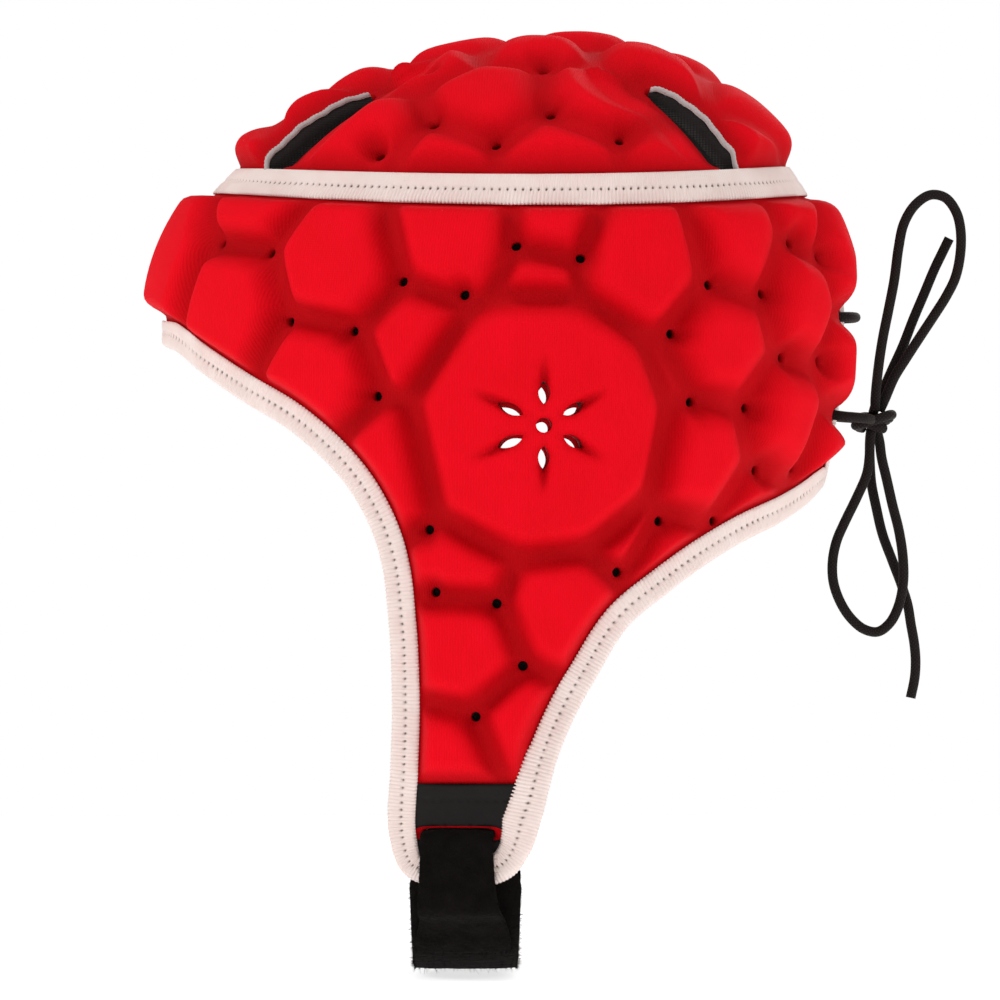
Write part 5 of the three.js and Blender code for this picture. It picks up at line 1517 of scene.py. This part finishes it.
def binding_rings():
    """The section at each station of the edge, its legs as long as the bend there allows. The inward
    slope is averaged along the edge, so the tape turns the flap's corners smoothly."""
    edge = edge_loop(binding_spacing)
    leg = leg_limit(edge, binding_width)
    section, outside = binding_section()
    count = len(edge["turn"])
    walk = (np.arange(count) * edge["step"])[:, None]
    rib_count = round(count * edge["step"] / lower_rib["pitch"])
    phase = 2 * np.pi * rib_count * np.arange(count)[:, None] / count
    share, inset, out, aside, up = (column[None, :] for column in section.T)
    tooth = binding_tooth * np.cos(phase) * eased(share, 0.8, 1.0) * (up > 0)
    inset = inset + share * leg[:, None] + tooth
    lift = lower_rib["height"] * np.cos(phase) * (np.abs(aside) + np.abs(up) > 0)
    seam = (share - 0.5) * leg[:, None]
    sewn, needle = stitched(walk, seam)
    on_leg = (np.arange(section.shape[0]) < outside)[None, :]
    lift = lift + np.where(on_leg, sewn - leg_tip_drop * eased(share, 0.93, 1.0), 0)
    inset = inset + aside * lift
    out = out + up * lift
    slope = np.stack(moved(edge["turn"], edge["level"], edge["inward"] * mm, tape_outer), axis=-1)
    slope -= np.stack([edge["turn"], edge["level"]], axis=-1)
    slope = ring_mean(slope, int(round(slope_reach / edge["step"]))) / mm
    turn = edge["turn"][:, None] + slope[:, :1] * inset
    level = edge["level"][:, None] + slope[:, 1:] * inset
    rings = place(turn, level, out)
    walk = np.broadcast_to(walk, rings.shape[:2])
    cloth = np.stack([walk, inset + out], axis=-1).reshape(-1, 2) / mm
    dark = np.where(on_leg, needle, 0)
    return rings, cloth, dark.ravel()


rings, cloth, dark = binding_rings()
points, faces = skin(rings, looped=True)
make_piece("edge binding", points, faces, white_tape, cloth, {"needle": dark})

# %% [markdown]
# On the real cap each slot in the crown is cut through the cells, bound with tape on one side, and
# pulled open by the shape of the head. It could be a level cut, but then it would be hidden from the
# side. So the taped side, which is nearer the middle plane, stands up out of the slot as an uneven lip,
# and the other side sinks. Below the lip a black sheet on the cut foam is painted shade, for the dark
# inside of the slot.

# %% Slot bindings
slot_names = ["front_left", "back_left", "front_right", "back_right"]
slot_lip = 0.9 * mm
slot_tape_wall = 1.2 * mm
slot_tape_section = [(0.1, 1.5), (1, 1.5), (1.05, 0.8), (0.95, 0.3), (0.7, 0.05), (0.35, 0.0), (0.08, 0.25),
                     (0, 0.8)]
shade_sheet_top = 1.2 * mm
lip_waves = [(0.2 * mm, 2.3 * mm, 0), (0.12 * mm, 0.9 * mm, 1)]


def slot_binding(name, rows):
    """Tape of one slot, and a black sheet under its lip as painted shade. The tape's section is a table of
    shares of its thickness and drops below the lip in millimetres. The lip follows the lifted foam, with
    two sines for unevenness."""
    fine = evenly(rows, place(rows[:, 0], rows[:, 1], foam_outer), 150)[4:-5]
    middle = place(fine[:, 0], fine[:, 1], foam_outer)
    rim = fine[:, 2] * slot_width / 2 - 0.1 * mm
    walk = np.linspace(0, 1, len(fine)) * line_length(middle)
    wave = sum(height * np.sin(walk / length + start) for height, length, start in lip_waves)
    rib = upper_rib["height"] * np.cos(2 * np.pi * walk / lower_rib["pitch"])
    wall = np.minimum(slot_tape_wall, 1.2 * rim)
    lip = foam_outer + slot_lip + slot_lift * fine[:, 2] * off_band(middle) + wave

    def ring_line(back, out):
        return place(*slot_side(fine, tape_side(rows) * (rim - back * wall)), out)

    rings = [ring_line(back, lip - drop * mm + (rib if drop < 1 else 0)) for back, drop in slot_tape_section]
    points, faces = skin(np.stack(rings, axis=1))
    around_tape = 0.6 * np.arange(len(rings))
    cloth = np.stack(np.broadcast_arrays(walk[:, None] / mm, around_tape), axis=-1).reshape(-1, 2)
    make_piece(f"slot binding {name}", points, faces, grey_tape, with_caps(cloth))
    # Painted shade: a black sheet under the lip, where the slot lies in shade.
    foot, top = 0 * lip, lip - shade_sheet_top
    rings = [ring_line(back, out) for back, out in ((0.1, foot), (0.8, foot), (0.8, top), (0.1, top))]
    points, faces = skin(np.stack(rings, axis=1))
    make_piece(f"slot facing {name}", points, faces, lining_cloth, points[:, 1:] / mm,
               replaced=False)


for name, rows in zip(slot_names, slot_rows):
    slot_binding(name, rows)

# %% [markdown]
# A patch of leatherette strengthens the foot of each ear flap, where the strap goes through. It runs
# under the binding. Its top is a folded hem, a little thicker, with a line of stitches below it. Its
# hole is wider than the slot, so a lip of the red cover shows. It is a net like the panels, with a
# finer spacing for the stitches.

# %% Flap patches
patch_spacing = 0.55
patch_inset = 2.5 * mm
hem_width = 4.2 * mm
patch_inner = foam_outer + 0.12 * mm
patch_outer = foam_outer + 0.45 * mm
patch_hole = np.array([fold_width / 2 + 2.6 * mm, strap_slot_height / 2 + 0.5 * mm])
patch_rim_drop = 0.25 * mm
hem_height = 0.45 * mm
loose_height = 0.12 * mm
cloth_share = 0.6


def patch_net():
    """The patch laid out flat: the flap's edge below its top, closed by a straight top, with the hole."""
    top_depth = tip_depth - patch_height
    turn, level = from_edge(coarse_edge, np.full(len(coarse_edge["turn"]), patch_inset), foam_outer)
    low = side_chart(turn, level)
    on_flap = (turn > 0) & (low[:, 1] * mm > top_depth)
    low = low[on_flap]
    steps = max(2, int(abs(low[-1, 0] - low[0, 0]) / patch_spacing))
    top = np.linspace((low[-1, 0], top_depth / mm), (low[0, 0], top_depth / mm), steps)
    hole = side_chart(*around(strap_slot_middle, rounded_box(*patch_hole, 48)))
    return flat_net([np.vstack([low, top]), hole], patch_spacing)


def patch_shell():
    """The patch with its hem, its stitches and a little looseness: two sines multiplied. Near the
    binding, which covers it, the patch stays flat."""
    flat, triangles, edges, rim_count = patch_net()
    turn, level = side_place(flat)
    below_top = flat[:, 1] * mm - (tip_depth - patch_height)
    from_line = distance_to_line(place(turn, level, pad_middle), edge_line)
    free = eased(from_line, binding_width, binding_width + 1 * mm)
    hem = hem_height * (1 - eased(below_top, hem_width - 0.5 * mm, hem_width + 0.2 * mm)) * free
    walk = flat[:, 0] * mm
    sewn, _ = stitched(walk, below_top - hem_width - 0.5 * mm)
    loose = loose_height * np.sin(walk / (4.3 * mm)) * np.sin(below_top / (5.1 * mm))
    away = np.abs(flat - side_chart(*strap_slot_middle)) * mm - patch_hole
    rim = patch_rim_drop * bell(np.linalg.norm(np.maximum(away, 0), axis=1), 0.5 * mm)
    outer = place(turn, level, patch_outer + hem + cloth_share * free * (sewn + loose) - rim)
    inner = place(turn, level, patch_inner)
    points, faces = shell(outer, inner, triangles, edges, rim_count)
    return points, faces, np.vstack([flat, flat])


points, faces, cloth = patch_shell()
for name, side in (("left", 1), ("right", -1)):
    make_piece(f"flap patch {name}", points * (side, 1, 1), faces, patch_leather, cloth)

# %% [markdown]
# The strap starts at its free end outside the left flap, goes up and in through the slot, down inside
# the flap, and hangs in an arc under the chin to the other flap. Cloth simulation could hang it, but
# its path through the slots is given by the part. Its rows are the part's own: beside the flaps a
# depth, and below them a share of the arc. The left half's lines are mirrored to the right.

# %% Chin strap
strap_wall = 2.0 * mm
strap_width = 35 * mm
fold_end_width = 29 * mm
chin_drop = 29.5 * mm
chin_power = 0.9
strap_taper = 0.08
strap_outside = foam_outer + tape_gap + 1.0 * mm + clearance + strap_wall / 2
strap_inside = inner_tape_top - tape_wall - clearance - strap_wall / 2
slot_depth = tip_depth - strap_slot_drop - strap_slot_height / 2
layer_gap = strap_wall + 2 * clearance
strap_half_columns = 10
strap_asides = np.linspace(-0.5, 0.5, 2 * strap_half_columns + 1)
strap_spacing = 0.8
edge_thinning = 0.45
unevenness = {"height": 0.16 * mm, "size": 1.6 * mm}


def strap_rows():
    """Rows of kind (0 beside the flap, 1 on the arc), depth or share, offset and width."""
    beside, arc = 0, 1
    ends = [
        (arc, 0.46, strap_inside + layer_gap, fold_end_width),
        (arc, 0.38, strap_inside + layer_gap, fold_end_width),
        (arc, 0.29, strap_inside + layer_gap, 0.95 * fold_end_width),
        (arc, 0.20, strap_inside + layer_gap + 1.5 * mm, 0.88 * fold_end_width),
        (arc, 0.10, strap_outside - 1.2 * mm, 0.8 * fold_end_width),
    ]
    slot = [
        (beside, tip_depth, strap_outside, fold_width * 1.05),
        (beside, slot_depth + 6 * mm, strap_outside, fold_width),
        (beside, slot_depth + 1.9 * mm, strap_outside, fold_width),
        (beside, slot_depth + 0.6 * mm, strap_outside - 0.7 * mm, fold_width),
        (beside, slot_depth, strap_outside - 2.2 * mm, fold_width),
        (beside, slot_depth, strap_inside + 2.2 * mm, fold_width),
        (beside, slot_depth + 0.6 * mm, strap_inside + 0.7 * mm, fold_width),
        (beside, slot_depth + 1.9 * mm, strap_inside, fold_width),
        (beside, tip_depth - 4 * mm, strap_inside, 0.9 * strap_width),
        (beside, tip_depth, strap_inside, strap_width),
    ]
    shares = (0.1, 0.2, 0.3, 0.4, 0.5, 0.62, 0.74, 0.87, 1)
    under = [(arc, s, strap_inside, strap_width * (1 - strap_taper * s)) for s in shares]
    return np.array(ends + slot + under)

# %% [markdown]
# The strap is one flat band, so it is a sheet of rows across its width, with a thickness to each side.
# A slight ripple, the same on every run, keeps it from looking like plastic.

# %% The strap as a sheet
def strap_points(rows, aside):
    """Points of the strap at a share of its width beside its middle line. On the arc, the way across
    shrinks by the cosine of the angle to a power, and the drop grows by its sine to a power."""
    kind, along, out, width = rows.T
    per_turn = np.radians(1) * brow_reach * cheek_shares["brow"][-1]
    turn = strap_turn + aside * width / per_turn
    depth = np.where(kind == 0, along, tip_depth)
    beside = place(turn, level_of(depth), out)
    beside[:, 2] = -depth
    rim = place(turn, 2.0, out)
    angle = along * np.pi / 2
    arc = rim.copy()
    arc[:, 0] = rim[:, 0] * np.maximum(np.cos(angle), 0) ** chin_power
    arc[:, 2] = rim[:, 2] - (chin_drop + out) * np.maximum(np.sin(angle), 0) ** chin_power
    return np.where(kind[:, None] == 1, arc, beside)


def ripple(points, size, seed):
    """Smooth unevenness from -1 to 1: the mean of sines along a few chosen directions."""
    chance = np.random.default_rng(seed)
    ways = chance.normal(size=(12, 3))
    phase = chance.uniform(0, 2 * np.pi, 12)
    return np.sin(points @ ways.T * (2 * np.pi / (2.5 * size)) + phase).mean(axis=1) * 2


def strap_sheet():
    """Middle points of the strap over its whole length and width, evenly spaced, with the direction
    across its thickness."""
    rows = strap_rows()

    def whole_line(aside):
        left = strap_points(rows, aside)
        return smooth_line(np.vstack([left, left[-2::-1] * (-1, 1, 1)]), 8)

    centre = whole_line(0.0)
    count = int(line_length(centre) / (strap_spacing * mm))
    sheet = np.stack([evenly(whole_line(aside), centre, count) for aside in strap_asides], axis=1)
    middle = sheet[:, strap_half_columns]
    along = np.gradient(middle, axis=0)
    lift = np.stack([-along[:, 2], 0 * along[:, 0], along[:, 0]], axis=-1)
    return sheet, lift / np.linalg.norm(lift, axis=1, keepdims=True)


def strap_face(side, seed):
    """One face of the strap: half its thickness off the middle sheet, thinner towards the edges by the
    sixth power, and uneven by ripples."""
    thick = strap_wall / 2 * (1 - edge_thinning * np.abs(2 * strap_asides) ** 6)[None, :, None]
    face = sheet + side * lift[:, None] * thick
    bumps = unevenness["height"] * ripple(face.reshape(-1, 3), unevenness["size"], seed)
    return face + side * lift[:, None] * bumps.reshape(face.shape[:2])[..., None]


sheet, lift = strap_sheet()
rings = np.concatenate([strap_face(-1, 3), strap_face(1, 4)[:, ::-1]], axis=1)
points, faces = skin(rings)
along = np.repeat(np.arange(len(rings)) * strap_spacing, rings.shape[1])
aside = np.tile(np.concatenate([strap_asides, strap_asides[::-1]]) * strap_width / mm, len(rings))
cloth = with_caps(np.stack([aside, along], axis=-1))
make_piece("chin strap", points, faces, strap_pile, cloth)

# %% [markdown]
# Brushed pile stands out along the strap's edges, at its cut ends and on its faces as short loose
# fibres. Blender's hair would make them, but a later export keeps only meshes. So each fibre is a
# three-sided spike, bent a little, that starts inside the strap. Some nine thousand of them are enough
# for a fuzzy outline.

# %% Fibres of the strap
fibre_count = 9500
fibre_radius = 0.06 * mm
fibre_lengths = (0.4, 1.2)
fibre_depth = 0.4 * mm
fibre_bend = 0.4
end_share = 0.16
end_growth = 1.6
face_share = 0.5
face_root = 0.9 * mm
face_rise = 0.35
face_spread = 0.6
face_fibre = 1.1 * mm


def unit(vectors):
    """Each vector over its length."""
    return vectors / np.linalg.norm(vectors, axis=1, keepdims=True)


def spikes(roots, ways, bends, radius):
    """Thin three-sided spikes of three steps from each root: along the way, and aside by the bend times
    the share squared. They taper to a point."""
    count = len(roots)
    shares = np.array([0, 0.35, 0.7])
    angle = 2 * np.pi * np.arange(3) / 3
    first = unit(np.cross(ways, bends + 1e-6))
    second = unit(np.cross(ways, first))
    reach = shares[None, :, None]
    middle = roots[:, None] + reach * ways[:, None] + reach**2 * bends[:, None]
    ring = np.cos(angle)[:, None] * first[:, None, None] + np.sin(angle)[:, None] * second[:, None, None]
    body = middle[:, :, None] + radius * (1 - 0.5 * shares)[None, :, None, None] * ring
    tip = roots + ways + bends
    points = np.concatenate([body.reshape(count, 9, 3), tip[:, None]], axis=1)
    one = []
    for low in (0, 3):
        for k in range(3):
            a, b = low + k, low + (k + 1) % 3
            one += [(a, b, b + 3), (a, b + 3, a + 3)]
    one += [(6, 7, 9), (7, 8, 9), (8, 6, 9), (2, 1, 0)]
    faces = (np.arange(count) * 10)[:, None, None] + np.array(one)[None]
    return points.reshape(-1, 3), faces.reshape(-1, 3)

# %% [markdown]
# Fibres grow where the pile is cut or rubbed: densely on the edges and ends, thinly on the faces.
# Chance chooses the places, from a fixed seed, so each run gives the same strap.

# %% Where the fibres grow
def strap_fibres():
    """Spikes along both edges, on the cut ends and, a share of them, on the faces. The random draws
    stay in this order, since each uses up numbers of one sequence."""
    chance = np.random.default_rng(11)
    last_row, last_column = len(sheet) - 1, len(strap_asides) - 1
    station = chance.integers(2, last_row - 1, fibre_count)
    column = chance.choice([0, last_column], fibre_count)
    on_end = chance.random(fibre_count) < end_share
    station[on_end] = chance.choice([0, last_row], on_end.sum())
    column[on_end] = chance.integers(0, last_column + 1, on_end.sum())
    outwards = unit(sheet[station, -1] - sheet[station, 0]) * np.where(column == 0, -1, 1)[:, None]
    first_step, last_step = sheet[0] - sheet[1], sheet[-1] - sheet[-2]
    ends = unit(np.where((station == 0)[:, None], first_step[column], last_step[column]))
    outwards = np.where(on_end[:, None], ends, outwards)
    through = lift[station] * chance.uniform(-0.8, 0.8, fibre_count)[:, None]
    roots = sheet[station, column] + through * strap_wall / 2 - outwards * fibre_depth
    lengths = chance.uniform(*fibre_lengths, fibre_count)[:, None] * mm
    lengths[on_end] *= end_growth
    spread = chance.normal(size=(fibre_count, 3))
    ways = (0.8 * outwards + 0.5 * through + 0.5 * spread) * lengths
    on_face = (chance.random(fibre_count) < face_share) & ~on_end
    column = chance.integers(1, last_column, on_face.sum())
    side = chance.choice([-1, 1], on_face.sum())[:, None]
    away = side * lift[station[on_face]]
    roots[on_face] = sheet[station[on_face], column] + away * face_root
    ways[on_face] = (away * face_rise + face_spread * spread[on_face]) * face_fibre
    bends = fibre_bend * chance.normal(size=(fibre_count, 3)) * lengths
    return spikes(roots, ways, bends, fibre_radius)


points, faces = strap_fibres()
make_piece("strap fibres", points, faces, strap_pile, points[:, :2] / mm, replaced=False)

# %% [markdown]
# The cap stands over a plain white floor in a white room. Large soft boxes in front, behind, above, at
# the camera and on the far side model the cells. To the camera the room is bright, but to the cap it
# gives only weak light, so the channels between the cells stay deep.

# %% Light and floor
room_light = 0.3
cap_middle = np.array([0, 0, -0.12])
world = bpy.data.worlds.new("white room")
world.use_nodes = True
backdrop = world.node_tree.nodes["Background"]
backdrop.inputs["Color"].default_value = (1.0, 1.0, 1.0, 1)
seen = world.node_tree.nodes.new("ShaderNodeLightPath")
strength = world.node_tree.nodes.new("ShaderNodeMapRange")
strength.inputs["To Min"].default_value = room_light
strength.inputs["To Max"].default_value = 1.0
world.node_tree.links.new(seen.outputs["Is Camera Ray"], strength.inputs["Value"])
world.node_tree.links.new(strength.outputs["Result"], backdrop.inputs["Strength"])
bpy.context.scene.world = world


def soft_box(name, location, size, power):
    """A square lamp of a size in metres that faces the cap's middle."""
    lamp = bpy.data.lights.new(name, "AREA")
    lamp.size = size
    lamp.energy = power
    box = bpy.data.objects.new(name, lamp)
    x, y, z = location - cap_middle
    box.location = location
    box.rotation_euler = (np.arctan2(np.hypot(x, y), z), 0, np.arctan2(y, x) + np.pi / 2)
    bpy.context.scene.collection.objects.link(box)
    return box


lamps = [
    soft_box("front box", (0.6, -1.2, 0.6), 0.6, 7.6),
    soft_box("back box", (0.55, 1.25, 0.4), 0.6, 5.6),
    soft_box("top box", (0.5, -0.1, 1.2), 0.5, 5.4),
    soft_box("camera box", (2.2, -0.3, 0.3), 1.0, 2.2),
    soft_box("far box", (-1.3, 0.5, 0.6), 0.8, 6.0),
]

floor_level = -0.27
floor_reach = 1.5
floor_glow = 0.72
angle = np.linspace(0, 2 * np.pi, 97)[:-1]
floor_points = np.stack([
    floor_reach * np.cos(angle), floor_reach * np.sin(angle), np.full(len(angle), floor_level)], axis=-1)
floor_mesh = bpy.data.meshes.new("floor")
floor_mesh.from_pydata(floor_points, [], [tuple(range(len(floor_points)))])
floor = bpy.data.objects.new("floor", floor_mesh)
floor_paint, floor_shader = new_material("pale floor", (0.8, 0.8, 0.8), 0.9)
floor_shader.inputs["Emission Color"].default_value = (1, 1, 1, 1)
floor_shader.inputs["Emission Strength"].default_value = floor_glow
floor_mesh.materials.append(floor_paint)
bpy.context.scene.collection.objects.link(floor)
bpy.context.scene.view_settings.view_transform = "Standard"
print(len(lamps), "lamps over a floor at", floor_level)
